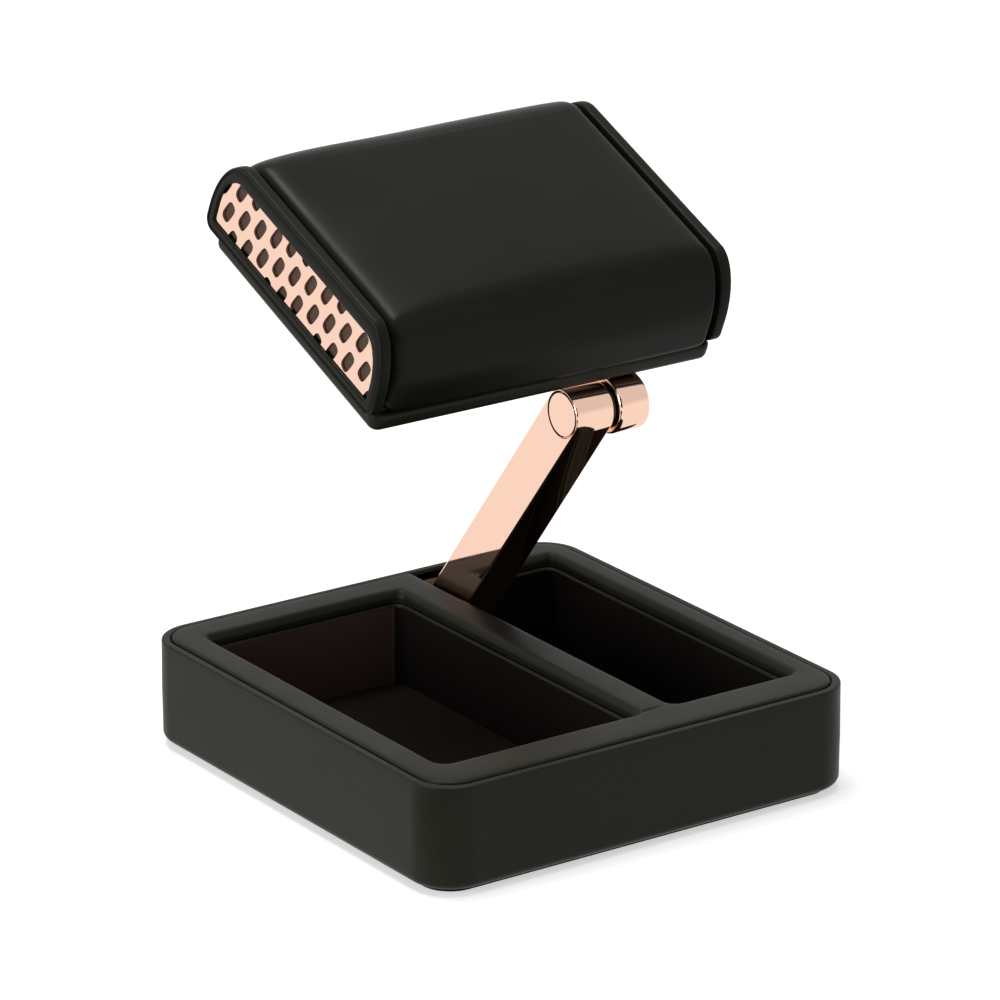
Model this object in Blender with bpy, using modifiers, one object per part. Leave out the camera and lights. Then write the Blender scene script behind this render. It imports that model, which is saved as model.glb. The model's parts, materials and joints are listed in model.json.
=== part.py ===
"""Watch stand: a leather tray with two compartments, a leaning arm and a cushion on a board.

Metres, +Z up. The origin is the centre of the tray's underside, -Y is the front and the
cushion lies along X. The arm turns about X at its foot, the head turns about X at its pivot.
"""

import math

import bmesh
import bpy
from mathutils import Matrix, Vector

MM = 0.001
GAP = 0.3 * MM              # between pieces that touch on the real object
OVERRUN = 1.0 * MM          # how far a cutter runs past what it cuts
ARC_STEPS = 6               # segments in a quarter turn

# Tray
TRAY_WIDTH = 130 * MM
TRAY_DEPTH = 135 * MM
TRAY_HEIGHT = 29 * MM
TRAY_CORNER = 11.7 * MM
TRAY_FOOT_ROUND = 2.4 * MM
WRAP = 0.7 * MM             # leather on the tray's wall and board
WRAP_TURN_IN = 7.0 * MM     # leather turned in under the floor
WALL = 2.3 * MM             # wall ring with its leather
PAD_INSET = 3.5 * MM
PAD_THICK = 1.1 * MM
FLOOR_THICK = 1.1 * MM
SUEDE_PAD = 0.6 * MM

# Top frame, compartments and slot
FRAME_REVEAL = 0.4 * MM     # dark groove between wall and frame
FRAME_THICK = 3.1 * MM
FRAME_PROUD = 0.5 * MM      # the padding stands this much above the wall
FRAME_LEATHER = 1.0 * MM
FRAME_ROUND = 1.1 * MM
BAND_LEFT = 11.6 * MM       # from the tray's outer face to the opening, on each side
BAND_RIGHT = 9.5 * MM
BAND_FRONT = 15.3 * MM
BAND_BACK = 12.5 * MM
OPEN_CORNER = 3.4 * MM
DIVIDER_WIDTH = 10.7 * MM
RIGHT_ROOM = 38.3 * MM      # opening of the right compartment
LINER_STEP = 0.8 * MM       # liners stand this far inside the frame's edge
LINER_THICK = 1.5 * MM
LINER_CORNER = 2.6 * MM
LINER_ROUND = 0.6 * MM

# Arm and its two pivots
ARM_LEAN = math.radians(38.27)
ARM_LENGTH = 97.2 * MM
ARM_WIDTH = 13.6 * MM
ARM_THICK = 11.8 * MM
ARM_CHAMFER = 0.8 * MM
SLOT_SIDE = 1.2 * MM        # slot's edge to the arm's left face
SLOT_WIDTH = 14.3 * MM
FOOT_Z = 15.8 * MM
FOOT_CLEAR = 0.3 * MM       # upright arm to the wall behind it
PIN_RADIUS = 2.7 * MM
PIN_HEAD_RADIUS = 5.5 * MM
PIN_HEAD_THICK = 1.4 * MM
CLEVIS_SHEET = 1.0 * MM
CLEVIS_BASE = 1.2 * MM
RIVET_RADIUS = 1.2 * MM
RIVET_HEAD_RADIUS = 2.2 * MM
RIVET_HEAD_THICK = 0.8 * MM
RIVET_SPACING = 7.0 * MM
WASHER_RADIUS = 6.0 * MM
WASHER_THICK = 0.8 * MM

# Head, in its own tilted frame: x along the cushion, u to the back, w up from the pivot
HEAD_TILT = math.radians(23.07)
KNUCKLE_RADIUS = 7.7 * MM
KNUCKLE_WIDTH = 9.4 * MM
HINGE_BAR_THICK = 4.7 * MM
HINGE_BAR_LENGTH = 58 * MM
SCREW_RADIUS = 1.4 * MM
SCREW_HEAD_RADIUS = 2.6 * MM
SCREW_HEAD_THICK = 1.3 * MM
SCREW_DEPTH = 3.2 * MM      # screw's end above the board's underside
SCREW_FIRST = 20 * MM
SCREW_PITCH = 26 * MM
HEAD_REACH = 76.1 * MM      # from the knuckle to the left end frame's outer face
HEAD_LENGTH = 108.1 * MM
CAP_THICK = 3.2 * MM
CAP_FRONT = -0.75 * MM
CAP_DEPTH = 82.3 * MM
CAP_HEIGHT = 25.2 * MM
CAP_FRONT_ROUND = (9.6 * MM, 17.9 * MM)   # quarter ellipse over the front corner
CAP_BACK_ROUND = (12.5 * MM, 19.5 * MM)
CAP_FOOT_ROUND = 3.2 * MM
RIM_FRONT = 4.1 * MM        # width of the leather rim round the window
RIM_BACK = 2.9 * MM
RIM_TOP = 5.6 * MM
RIM_BOTTOM = 3.1 * MM
WINDOW_FRONT_ROUND = (6.4 * MM, 12.0 * MM)
WINDOW_BACK_ROUND = (7.6 * MM, 12.0 * MM)
CAP_EDGE = 0.6 * MM
BOARD_FRONT = -0.3 * MM
BOARD_BACK = 78.9 * MM
BOARD_THICK = 5.4 * MM
BOARD_CORNER = 3.0 * MM
BOARD_LEFT_RUN = 1.3 * MM   # the board's ends run this far under the end frames
BOARD_RIGHT_RUN = 2.3 * MM
BOARD_ROUND = 2.4 * MM      # its leather rolls round the lower edge
BOARD_EDGE_PAD = 2.4 * MM   # padded leather beside the stiff core
CUSHION_INSET = 1.0 * MM    # cushion's end inside the frame's outline
CUSHION_CROWN = 1.7 * MM    # swell from its end to its middle
CUSHION_DRAW = 1.3 * MM     # how far the very end is drawn in
CUSHION_ROLL = 1.6 * MM     # length of the drawn-in end
INLAY_RECESS = 0.8 * MM
INLAY_THICK = 0.6 * MM
BACKING_THICK = 0.8 * MM
DOT_WIDTH = 3.6 * MM
DOT_HEIGHT = 6.8 * MM
DOT_ALONG = 7.42 * MM       # pitch along a row
DOT_ROW = 7.40 * MM         # pitch from row to row
DOT_ROW_ANGLE = math.radians(-19.4)
DOT_COLUMN_ANGLE = math.radians(60.5)
DOT_LEAN = math.radians(22.0)
DOT_FIRST_U = 49.35 * MM
DOT_FIRST_W = 23.8 * MM

# What follows from them
WALL_TOP = TRAY_HEIGHT
FLOOR_BOTTOM = PAD_THICK + GAP + WRAP + GAP
FLOOR_TOP = FLOOR_BOTTOM + FLOOR_THICK
LINER_BOTTOM = FLOOR_TOP + GAP
FRAME_TOP = TRAY_HEIGHT + FRAME_PROUD
FRAME_BOTTOM = FRAME_TOP - FRAME_THICK
LINER_TOP = FRAME_BOTTOM - GAP
OPEN_LEFT = -TRAY_WIDTH / 2 + BAND_LEFT
OPEN_RIGHT = TRAY_WIDTH / 2 - BAND_RIGHT
OPEN_FRONT = -TRAY_DEPTH / 2 + BAND_FRONT
OPEN_BACK = TRAY_DEPTH / 2 - BAND_BACK
DIVIDER_RIGHT = OPEN_RIGHT - RIGHT_ROOM
DIVIDER_LEFT = DIVIDER_RIGHT - DIVIDER_WIDTH
SLOT_LEFT = DIVIDER_RIGHT
SLOT_RIGHT = SLOT_LEFT + SLOT_WIDTH
ARM_LEFT = SLOT_LEFT + SLOT_SIDE
ARM_RIGHT = ARM_LEFT + ARM_THICK
WALL_INNER_BACK = TRAY_DEPTH / 2 - WALL
EYE_RADIUS = ARM_WIDTH / 2
FOOT_Y = WALL_INNER_BACK - FOOT_CLEAR - EYE_RADIUS
PIVOT_Y = FOOT_Y - ARM_LENGTH * math.sin(ARM_LEAN)
PIVOT_Z = FOOT_Z + ARM_LENGTH * math.cos(ARM_LEAN)
BORE_RADIUS = PIN_RADIUS + GAP
CLEVIS_LEFT = ARM_LEFT - GAP - CLEVIS_SHEET
CLEVIS_RIGHT = ARM_RIGHT + GAP + CLEVIS_SHEET
KNUCKLE_LEFT = ARM_RIGHT + GAP + WASHER_THICK + GAP
KNUCKLE_RIGHT = KNUCKLE_LEFT + KNUCKLE_WIDTH
CAP_LEFT = KNUCKLE_LEFT - HEAD_REACH
CAP_RIGHT = CAP_LEFT + HEAD_LENGTH
SOFT_LEFT = CAP_LEFT + CAP_THICK + GAP
SOFT_RIGHT = CAP_RIGHT - CAP_THICK - GAP
BOARD_BOTTOM = KNUCKLE_RADIUS + GAP
BOARD_TOP = BOARD_BOTTOM + BOARD_THICK
CAP_BOTTOM = BOARD_TOP + GAP


def clear_scene():
    for old in list(bpy.data.objects):
        bpy.data.objects.remove(old, do_unlink=True)


def new_collection(name):
    collection = bpy.data.collections.new(name)
    bpy.context.scene.collection.children.link(collection)
    return collection


def material(name, colour, roughness, metallic=0.0):
    made = bpy.data.materials.new(name)
    made.use_nodes = True
    made.diffuse_color = colour
    shader = made.node_tree.nodes["Principled BSDF"]
    shader.inputs["Base Color"].default_value = colour
    shader.inputs["Roughness"].default_value = roughness
    shader.inputs["Metallic"].default_value = metallic
    return made


def black_leather(name):
    return material(name, (0.020, 0.020, 0.018, 1.0), 0.45)


def suede(name):
    return material(name, (0.020, 0.013, 0.009, 1.0), 0.95)


def board_stock(name):
    return material(name, (0.16, 0.11, 0.07, 1.0), 0.8)


def rose_gold(name):
    return material(name, (0.95, 0.62, 0.48, 1.0), 0.08, 1.0)


def dark_steel(name):
    return material(name, (0.10, 0.09, 0.09, 1.0), 0.4, 1.0)


def black_card(name):
    return material(name, (0.035, 0.022, 0.017, 1.0), 0.7)


def arc(centre_x, centre_y, radius_x, radius_y, start, end):
    """Points of an elliptic arc between two angles given in quarter turns."""
    steps = max(1, round(abs(end - start) * ARC_STEPS))
    points = []
    for step in range(steps + 1):
        angle = (start + (end - start) * step / steps) * math.pi / 2
        points.append((centre_x + radius_x * math.cos(angle), centre_y + radius_y * math.sin(angle)))
    return points


def rounded_box(left, front, right, back, radius):
    """A rectangle with round corners, anticlockwise."""
    points = []
    corners = ((right, back), (left, back), (left, front), (right, front))
    for turn, (x, y) in enumerate(corners):
        side_x = 1 if x == right else -1
        side_y = 1 if y == back else -1
        points += arc(x - side_x * radius, y - side_y * radius, radius, radius, turn, turn + 1)
    return points


def tray_outline(inset):
    """The tray's plan outline, drawn in by an inset."""
    half_x = TRAY_WIDTH / 2 - inset
    half_y = TRAY_DEPTH / 2 - inset
    return rounded_box(-half_x, -half_y, half_x, half_y, TRAY_CORNER - inset)


def loaf(inset, foot_round):
    """The head's end outline in (u, w): flat below, quarter ellipses above."""
    front = CAP_FRONT + inset
    back = CAP_FRONT + CAP_DEPTH - inset
    bottom = CAP_BOTTOM + inset
    top = CAP_BOTTOM + CAP_HEIGHT - inset
    front_round = [size - inset for size in CAP_FRONT_ROUND]
    back_round = [size - inset for size in CAP_BACK_ROUND]
    return four_arcs(front, back, bottom, top, front_round, back_round, foot_round)


def window_outline(inset):
    """The end frame's opening, drawn in by an inset; its rim is widest at the top."""
    front = CAP_FRONT + RIM_FRONT + inset
    back = CAP_FRONT + CAP_DEPTH - RIM_BACK - inset
    bottom = CAP_BOTTOM + RIM_BOTTOM + inset
    top = CAP_BOTTOM + CAP_HEIGHT - RIM_TOP - inset
    front_round = [size - inset for size in WINDOW_FRONT_ROUND]
    back_round = [size - inset for size in WINDOW_BACK_ROUND]
    return four_arcs(front, back, bottom, top, front_round, back_round, GAP)


def four_arcs(front, back, bottom, top, front_round, back_round, foot_round):
    """Quarter ellipses over the upper corners, quarter circles at the lower ones."""
    return (
        arc(back - back_round[0], top - back_round[1], back_round[0], back_round[1], 0, 1)
        + arc(front + front_round[0], top - front_round[1], front_round[0], front_round[1], 1, 2)
        + arc(front + foot_round, bottom + foot_round, foot_round, foot_round, 2, 3)
        + arc(back - foot_round, bottom + foot_round, foot_round, foot_round, 3, 4)
    )


def circle(centre_x, centre_y, radius):
    return arc(centre_x, centre_y, radius, radius, 0, 4)[:-1]


def mesh_object(name, mesh, collection, parent=None, basis=None):
    made = bpy.data.objects.new(name, mesh)
    collection.objects.link(made)
    made.parent = parent
    if basis is not None:
        made.matrix_basis = basis
    return made


def extruded(name, outlines, low, high, edge, collection, parent=None, basis=None, facets=2):
    """A flat outline with its holes, from low to high along local Z, with rounded edges."""
    curve = bpy.data.curves.new(name + "_outline", "CURVE")
    curve.dimensions = "2D"
    curve.fill_mode = "BOTH"
    curve.extrude = (high - low) / 2 - edge
    curve.bevel_depth = edge
    curve.offset = -edge
    curve.bevel_resolution = facets - 1
    for points in outlines:
        spline = curve.splines.new("POLY")
        spline.points.add(len(points) - 1)
        for point, (x, y) in zip(spline.points, points):
            point.co = (x, y, 0.0, 1.0)
        spline.use_cyclic_u = True
    drawn = bpy.data.objects.new(name + "_drawn", curve)
    collection.objects.link(drawn)
    depsgraph = bpy.context.evaluated_depsgraph_get()
    mesh = bpy.data.meshes.new_from_object(drawn.evaluated_get(depsgraph))
    bpy.data.objects.remove(drawn, do_unlink=True)
    bpy.data.curves.remove(curve)
    close_mesh(mesh, (low + high) / 2)
    mesh.name = name
    return mesh_object(name, mesh, collection, parent, basis)


def close_mesh(mesh, lift):
    """Weld a curve's loose caps, lift the mesh along Z and point its faces out."""
    shape = bmesh.new()
    shape.from_mesh(mesh)
    bmesh.ops.remove_doubles(shape, verts=shape.verts, dist=0.00001)
    bmesh.ops.translate(shape, verts=shape.verts, vec=(0.0, 0.0, lift))
    bmesh.ops.recalc_face_normals(shape, faces=shape.faces)
    shape.to_mesh(mesh)
    shape.free()


def swept_ring(name, section, path, collection):
    """A closed section, given as (inset, height), carried once round the tray's outline."""
    shape = bmesh.new()
    rings = [[shape.verts.new((x, y, height)) for x, y in path(inset)] for inset, height in section]
    for number, ring in enumerate(rings):
        following = rings[(number + 1) % len(rings)]
        for place in range(len(ring)):
            ahead = (place + 1) % len(ring)
            shape.faces.new((ring[place], ring[ahead], following[ahead], following[place]))
    bmesh.ops.recalc_face_normals(shape, faces=shape.faces)
    mesh = bpy.data.meshes.new(name)
    shape.to_mesh(mesh)
    shape.free()
    return mesh_object(name, mesh, collection)


def turned(name, profile, collection, parent, basis):
    """A profile of (radius, height), top to bottom, turned about local Z."""
    mesh = bpy.data.meshes.new(name)
    points = [(radius, 0.0, height) for radius, height in profile]
    mesh.from_pydata(points, [(number, number + 1) for number in range(len(points) - 1)], [])
    made = mesh_object(name, mesh, collection, parent, basis)
    screw = made.modifiers.new("turned", "SCREW")
    screw.steps = screw.render_steps = ARC_STEPS * 4
    screw.use_merge_vertices = True
    screw.merge_threshold = 0.00001
    return made


def cut(target, cutter):
    cutter.hide_render = True
    cutter.display_type = "WIRE"
    boolean = target.modifiers.new("cut " + cutter.name, "BOOLEAN")
    boolean.operation = "DIFFERENCE"
    boolean.solver = "EXACT"
    boolean.object = cutter


def rod_cutter(name, radius, low, high, collection, parent, basis):
    return extruded(name, [circle(0.0, 0.0, radius)], low, high, 0.0, collection, parent, basis)


def finish(made, surface, smooth_angle=35):
    made.data.materials.append(surface)
    made.data.shade_smooth()
    made.data.set_sharp_from_angle(angle=math.radians(smooth_angle))


def side_on(y, z):
    """Turns a flat outline to stand across X: its x and y become Y and Z, its z becomes X."""
    turn = Matrix(((0, 0, 1, 0), (1, 0, 0, 0), (0, 1, 0, 0), (0, 0, 0, 1)))
    return Matrix.Translation(Vector((0.0, y, z))) @ turn


def joint(name, parent, y, z, angle, collection):
    """An empty on a hinge's axis, turned about X."""
    empty = bpy.data.objects.new(name, None)
    collection.objects.link(empty)
    empty.parent = parent
    empty.location = (0.0, y, z)
    empty.rotation_euler = (angle, 0.0, 0.0)
    return empty


def build_base(parts):
    pad = extruded("base_pad", [tray_outline(PAD_INSET)], 0.0, PAD_THICK, 0.0, parts)
    finish(pad, black_card("base_pad"))
    floor = extruded("floor_board", [tray_outline(TRAY_FOOT_ROUND)], FLOOR_BOTTOM, FLOOR_TOP, 0.0, parts)
    finish(floor, board_stock("floor_board"))
    return floor


def build_wall(parts):
    core_outlines = [tray_outline(WRAP + GAP), tray_outline(WALL)]
    core_top = WALL_TOP - WRAP - GAP
    core = extruded("wall_core", core_outlines, LINER_BOTTOM, core_top, 0.0, parts)
    finish(core, board_stock("wall_core"))

    bottom = PAD_THICK + GAP
    round_in = TRAY_FOOT_ROUND - WRAP
    outer_foot = arc(TRAY_FOOT_ROUND, bottom + TRAY_FOOT_ROUND, -TRAY_FOOT_ROUND, -TRAY_FOOT_ROUND, 1, 0)
    inner_foot = arc(TRAY_FOOT_ROUND, bottom + TRAY_FOOT_ROUND, -round_in, -round_in, 0, 1)
    edge = WRAP / 2
    section = (
        [(WRAP_TURN_IN, bottom)]
        + outer_foot
        + [(0.0, WALL_TOP - edge), (edge, WALL_TOP), (WALL, WALL_TOP), (WALL, WALL_TOP - WRAP)]
        + [(WRAP, WALL_TOP - WRAP)]
        + inner_foot
        + [(WRAP_TURN_IN, bottom + WRAP)]
    )
    wrap = swept_ring("wall_wrap", section, tray_outline, parts)
    finish(wrap, black_leather("wall_wrap"))


def frame_outline(inset):
    """The top frame's ring, cut through by the slot, as one C-shaped outline."""
    edge = WALL + FRAME_REVEAL + inset
    outer = tray_outline(edge)
    left = OPEN_LEFT - inset
    right = OPEN_RIGHT + inset
    front = OPEN_FRONT - inset
    back = OPEN_BACK + inset
    radius = OPEN_CORNER + inset
    slot_left = SLOT_LEFT - inset
    slot_right = SLOT_RIGHT + inset
    outer_back = TRAY_DEPTH / 2 - edge
    quarter = ARC_STEPS + 1
    outer_before = outer[:quarter]
    outer_after = outer[quarter:]
    inner = rounded_box(left, front, right, back, radius)
    inner_before = inner[:quarter]
    inner_after = inner[quarter:]
    return (
        outer_after
        + outer_before
        + [(slot_right, outer_back), (slot_right, back)]
        + inner_before[::-1]
        + inner_after[::-1]
        + [(slot_left, back), (slot_left, outer_back)]
    )


def build_frame(parts, cutters):
    pad = extruded("frame_pad", [frame_outline(0.0)], FRAME_BOTTOM, FRAME_TOP, FRAME_ROUND, parts)
    recess_top = FRAME_TOP - FRAME_LEATHER
    recess = extruded("frame_pad_recess", [frame_outline(FRAME_LEATHER)],
                      FRAME_BOTTOM - OVERRUN, recess_top, 0.0, cutters)
    cut(pad, recess)
    finish(pad, black_leather("frame_pad"))
    board = extruded("frame_board", [frame_outline(FRAME_LEATHER + GAP)],
                     FRAME_BOTTOM, recess_top - GAP, 0.0, parts)
    finish(board, board_stock("frame_board"))


def compartments():
    """The two liners' inner faces: name, left, front, right, back."""
    front = OPEN_FRONT + LINER_STEP
    back = OPEN_BACK - LINER_STEP
    return (
        ("left", OPEN_LEFT + LINER_STEP, front, DIVIDER_LEFT - LINER_STEP, back),
        ("right", DIVIDER_RIGHT + LINER_STEP, front, OPEN_RIGHT - LINER_STEP, back),
    )


def build_liners(parts, cutters):
    for side, left, front, right, back in compartments():
        inner = rounded_box(left, front, right, back, LINER_CORNER)
        outer = rounded_box(left - LINER_THICK, front - LINER_THICK, right + LINER_THICK,
                            back + LINER_THICK, LINER_CORNER + LINER_THICK)
        liner = extruded(side + "_liner", [outer, inner], LINER_BOTTOM, LINER_TOP, LINER_ROUND, parts)
        floor = rounded_box(left + GAP, front + GAP, right - GAP, back - GAP, LINER_CORNER)
        pad = extruded(side + "_floor_pad", [floor], LINER_BOTTOM, LINER_BOTTOM + SUEDE_PAD, 0.0, parts)
        if side == "right":
            passage = clevis_passage(cutters)
            cut(liner, passage)
            cut(pad, passage)
        finish(liner, suede(side + "_liner"))
        finish(pad, suede(side + "_floor_pad"))


def clevis_passage(cutters):
    """The room that the slot leaves in the right liner for the clevis and the arm's eye."""
    left = DIVIDER_RIGHT + LINER_STEP - LINER_THICK - OVERRUN
    right = CLEVIS_RIGHT + GAP
    front = FOOT_Y - EYE_RADIUS - GAP
    back = TRAY_DEPTH / 2
    outline = [(left, front), (right, front), (right, back), (left, back)]
    return extruded("clevis_passage", [outline], FLOOR_TOP - OVERRUN, TRAY_HEIGHT, 0.0, cutters)


def build_divider(parts, cutters):
    front = OPEN_FRONT + GAP
    back = OPEN_BACK - GAP
    strip_outline = [(DIVIDER_LEFT, front), (DIVIDER_RIGHT, front), (DIVIDER_RIGHT, back), (DIVIDER_LEFT, back)]
    strip = extruded("divider_strip", [strip_outline], FRAME_BOTTOM, FRAME_TOP, FRAME_ROUND, parts)
    leather = FRAME_LEATHER
    recess_outline = [
        (DIVIDER_LEFT + leather, front + leather), (DIVIDER_RIGHT - leather, front + leather),
        (DIVIDER_RIGHT - leather, back - leather), (DIVIDER_LEFT + leather, back - leather),
    ]
    recess_top = FRAME_TOP - leather
    recess = extruded("divider_recess", [recess_outline], FRAME_BOTTOM - OVERRUN, recess_top, 0.0, cutters)
    cut(strip, recess)
    finish(strip, black_leather("divider_strip"))

    behind_liner = LINER_THICK - LINER_STEP + GAP
    core_left = DIVIDER_LEFT + behind_liner
    core_right = DIVIDER_RIGHT - behind_liner
    core_front = front + leather + GAP
    core_back = back - leather - GAP
    core_outline = [(core_left, core_front), (core_right, core_front), (core_right, core_back),
                    (core_left, core_back)]
    core = extruded("divider_core", [core_outline], LINER_BOTTOM, recess_top - GAP, 0.0, parts)
    finish(core, board_stock("divider_core"))


def build_clevis(parts, cutters, floor):
    """U-shaped sheet bracket in the slot, riveted to the floor board, with the foot pin."""
    base_bottom = LINER_BOTTOM
    base_top = base_bottom + CLEVIS_BASE
    inner_left = CLEVIS_LEFT + CLEVIS_SHEET
    inner_right = CLEVIS_RIGHT - CLEVIS_SHEET
    half = EYE_RADIUS
    eye = arc(0.0, 0.0, half, half, 0, 2)
    plate = eye + [(-half, base_bottom - FOOT_Z), (half, base_bottom - FOOT_Z)]
    across = side_on(FOOT_Y, FOOT_Z)
    clevis = extruded("foot_clevis", [plate], CLEVIS_LEFT, CLEVIS_RIGHT, 0.0, parts, None, across)
    space_top = half + OVERRUN
    space_low = base_top - FOOT_Z
    wide = half + OVERRUN
    space = extruded("clevis_space", [[(-wide, space_low), (wide, space_low), (wide, space_top),
                     (-wide, space_top)]], inner_left, inner_right, 0.0, cutters, None, across)
    cut(clevis, space)
    bore = rod_cutter("clevis_bore", BORE_RADIUS, CLEVIS_LEFT - OVERRUN, CLEVIS_RIGHT + OVERRUN,
                      cutters, None, across)
    cut(clevis, bore)

    middle_x = (ARM_LEFT + ARM_RIGHT) / 2
    for number, side in enumerate((-1, 1), start=1):
        spot = Matrix.Translation(Vector((middle_x, FOOT_Y + side * RIVET_SPACING / 2, 0.0)))
        hole = rod_cutter("rivet_hole_%d" % number, RIVET_RADIUS + GAP, FLOOR_BOTTOM - OVERRUN,
                          base_top + OVERRUN, cutters, None, spot)
        cut(clevis, hole)
        cut(floor, hole)
        head_bottom = base_top + GAP
        head_top = head_bottom + RIVET_HEAD_THICK
        profile = [(0.0, head_top), (RIVET_HEAD_RADIUS / 2, head_top), (RIVET_HEAD_RADIUS, head_bottom),
                   (RIVET_RADIUS, head_bottom), (RIVET_RADIUS, FLOOR_BOTTOM), (0.0, FLOOR_BOTTOM)]
        rivet = turned("clevis_rivet_%d" % number, profile, parts, None, spot)
        finish(rivet, dark_steel("clevis_rivet_%d" % number))
    finish(clevis, dark_steel("foot_clevis"))

    pin_profile = [(0.0, CLEVIS_RIGHT + GAP), (PIN_RADIUS, CLEVIS_RIGHT + GAP),
                   (PIN_RADIUS, CLEVIS_LEFT - GAP), (0.0, CLEVIS_LEFT - GAP)]
    pin = turned("foot_pin", pin_profile, parts, None, across)
    finish(pin, dark_steel("foot_pin"))


def build_arm(parts, cutters, arm_joint):
    """The bar stands along local Z of the arm's joint, an eye at each end."""
    across = side_on(0.0, 0.0)
    at_top = side_on(0.0, ARM_LENGTH)
    half = EYE_RADIUS
    outline = arc(0.0, ARM_LENGTH, half, half, 0, 2) + arc(0.0, 0.0, half, half, 2, 4)
    bar = extruded("arm_bar", [outline], ARM_LEFT, ARM_RIGHT, ARM_CHAMFER, parts, arm_joint, across)
    for name, place in (("foot", across), ("top", at_top)):
        bore = rod_cutter("arm_bore_" + name, BORE_RADIUS, ARM_LEFT - OVERRUN, ARM_RIGHT + OVERRUN,
                          cutters, arm_joint, place)
        cut(bar, bore)
    head_room = rod_cutter("arm_head_room", PIN_HEAD_RADIUS + GAP, ARM_LEFT - OVERRUN,
                           ARM_LEFT + PIN_HEAD_THICK + GAP, cutters, arm_joint, at_top)
    cut(bar, head_room)
    finish(bar, rose_gold("arm_bar"))

    screw_room = SCREW_RADIUS + GAP
    screw_end = KNUCKLE_LEFT + KNUCKLE_WIDTH / 3
    pin_end = KNUCKLE_RIGHT - PIN_HEAD_THICK - GAP - GAP
    pin_profile = [
        (0.0, screw_end - GAP), (screw_room, screw_end - GAP), (screw_room, pin_end),
        (PIN_RADIUS, pin_end), (PIN_RADIUS, ARM_LEFT + PIN_HEAD_THICK),
        (PIN_HEAD_RADIUS, ARM_LEFT + PIN_HEAD_THICK), (PIN_HEAD_RADIUS, ARM_LEFT), (0.0, ARM_LEFT),
    ]
    pin = turned("pivot_pin", pin_profile, parts, arm_joint, at_top)
    finish(pin, rose_gold("pivot_pin"))

    screw_profile = [
        (0.0, KNUCKLE_RIGHT), (PIN_HEAD_RADIUS, KNUCKLE_RIGHT),
        (PIN_HEAD_RADIUS, KNUCKLE_RIGHT - PIN_HEAD_THICK), (SCREW_RADIUS, KNUCKLE_RIGHT - PIN_HEAD_THICK),
        (SCREW_RADIUS, screw_end), (0.0, screw_end),
    ]
    screw = turned("pivot_screw", screw_profile, parts, arm_joint, at_top)
    finish(screw, rose_gold("pivot_screw"))

    washer_low = ARM_RIGHT + GAP
    washer_outlines = [circle(0.0, 0.0, WASHER_RADIUS), circle(0.0, 0.0, BORE_RADIUS)]
    washer = extruded("pivot_washer", washer_outlines, washer_low, washer_low + WASHER_THICK, 0.0,
                      parts, arm_joint, at_top)
    finish(washer, rose_gold("pivot_washer"))


def hinge_outline():
    """The knuckle's circle running into the bar that lies along the board's underside."""
    radius = KNUCKLE_RADIUS
    lower = radius - HINGE_BAR_THICK
    meet = math.asin(lower / radius) / (math.pi / 2)
    return arc(0.0, 0.0, radius, radius, 1, 4 + meet) + [(HINGE_BAR_LENGTH, lower), (HINGE_BAR_LENGTH, radius)]


def build_hinge(parts, cutters, head_joint, board_pieces):
    across = side_on(0.0, 0.0)
    bar = extruded("hinge_bar", [hinge_outline()], KNUCKLE_LEFT, KNUCKLE_RIGHT, ARM_CHAMFER, parts,
                   head_joint, across)
    bore = rod_cutter("knuckle_bore", BORE_RADIUS, KNUCKLE_LEFT - OVERRUN, KNUCKLE_RIGHT + OVERRUN,
                      cutters, head_joint, across)
    cut(bar, bore)
    head_room = rod_cutter("knuckle_head_room", PIN_HEAD_RADIUS + GAP,
                           KNUCKLE_RIGHT - PIN_HEAD_THICK - GAP, KNUCKLE_RIGHT + OVERRUN,
                           cutters, head_joint, across)
    cut(bar, head_room)

    bar_bottom = KNUCKLE_RADIUS - HINGE_BAR_THICK
    head_top = bar_bottom - GAP
    head_bottom = head_top - SCREW_HEAD_THICK
    screw_top = BOARD_BOTTOM + SCREW_DEPTH
    middle_x = (KNUCKLE_LEFT + KNUCKLE_RIGHT) / 2
    for number in range(2):
        spot = Matrix.Translation(Vector((middle_x, SCREW_FIRST + number * SCREW_PITCH, 0.0)))
        label = "hinge_screw_%d" % (number + 1)
        hole = rod_cutter(label + "_hole", SCREW_RADIUS + GAP, bar_bottom - OVERRUN, screw_top + GAP,
                          cutters, head_joint, spot)
        for piece in [bar] + board_pieces:
            cut(piece, hole)
        profile = [(0.0, screw_top), (SCREW_RADIUS, screw_top), (SCREW_RADIUS, head_top),
                   (SCREW_HEAD_RADIUS, head_top), (SCREW_HEAD_RADIUS, head_bottom), (0.0, head_bottom)]
        screw = turned(label, profile, parts, head_joint, spot)
        finish(screw, dark_steel(label))
    finish(bar, rose_gold("hinge_bar"))


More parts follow.
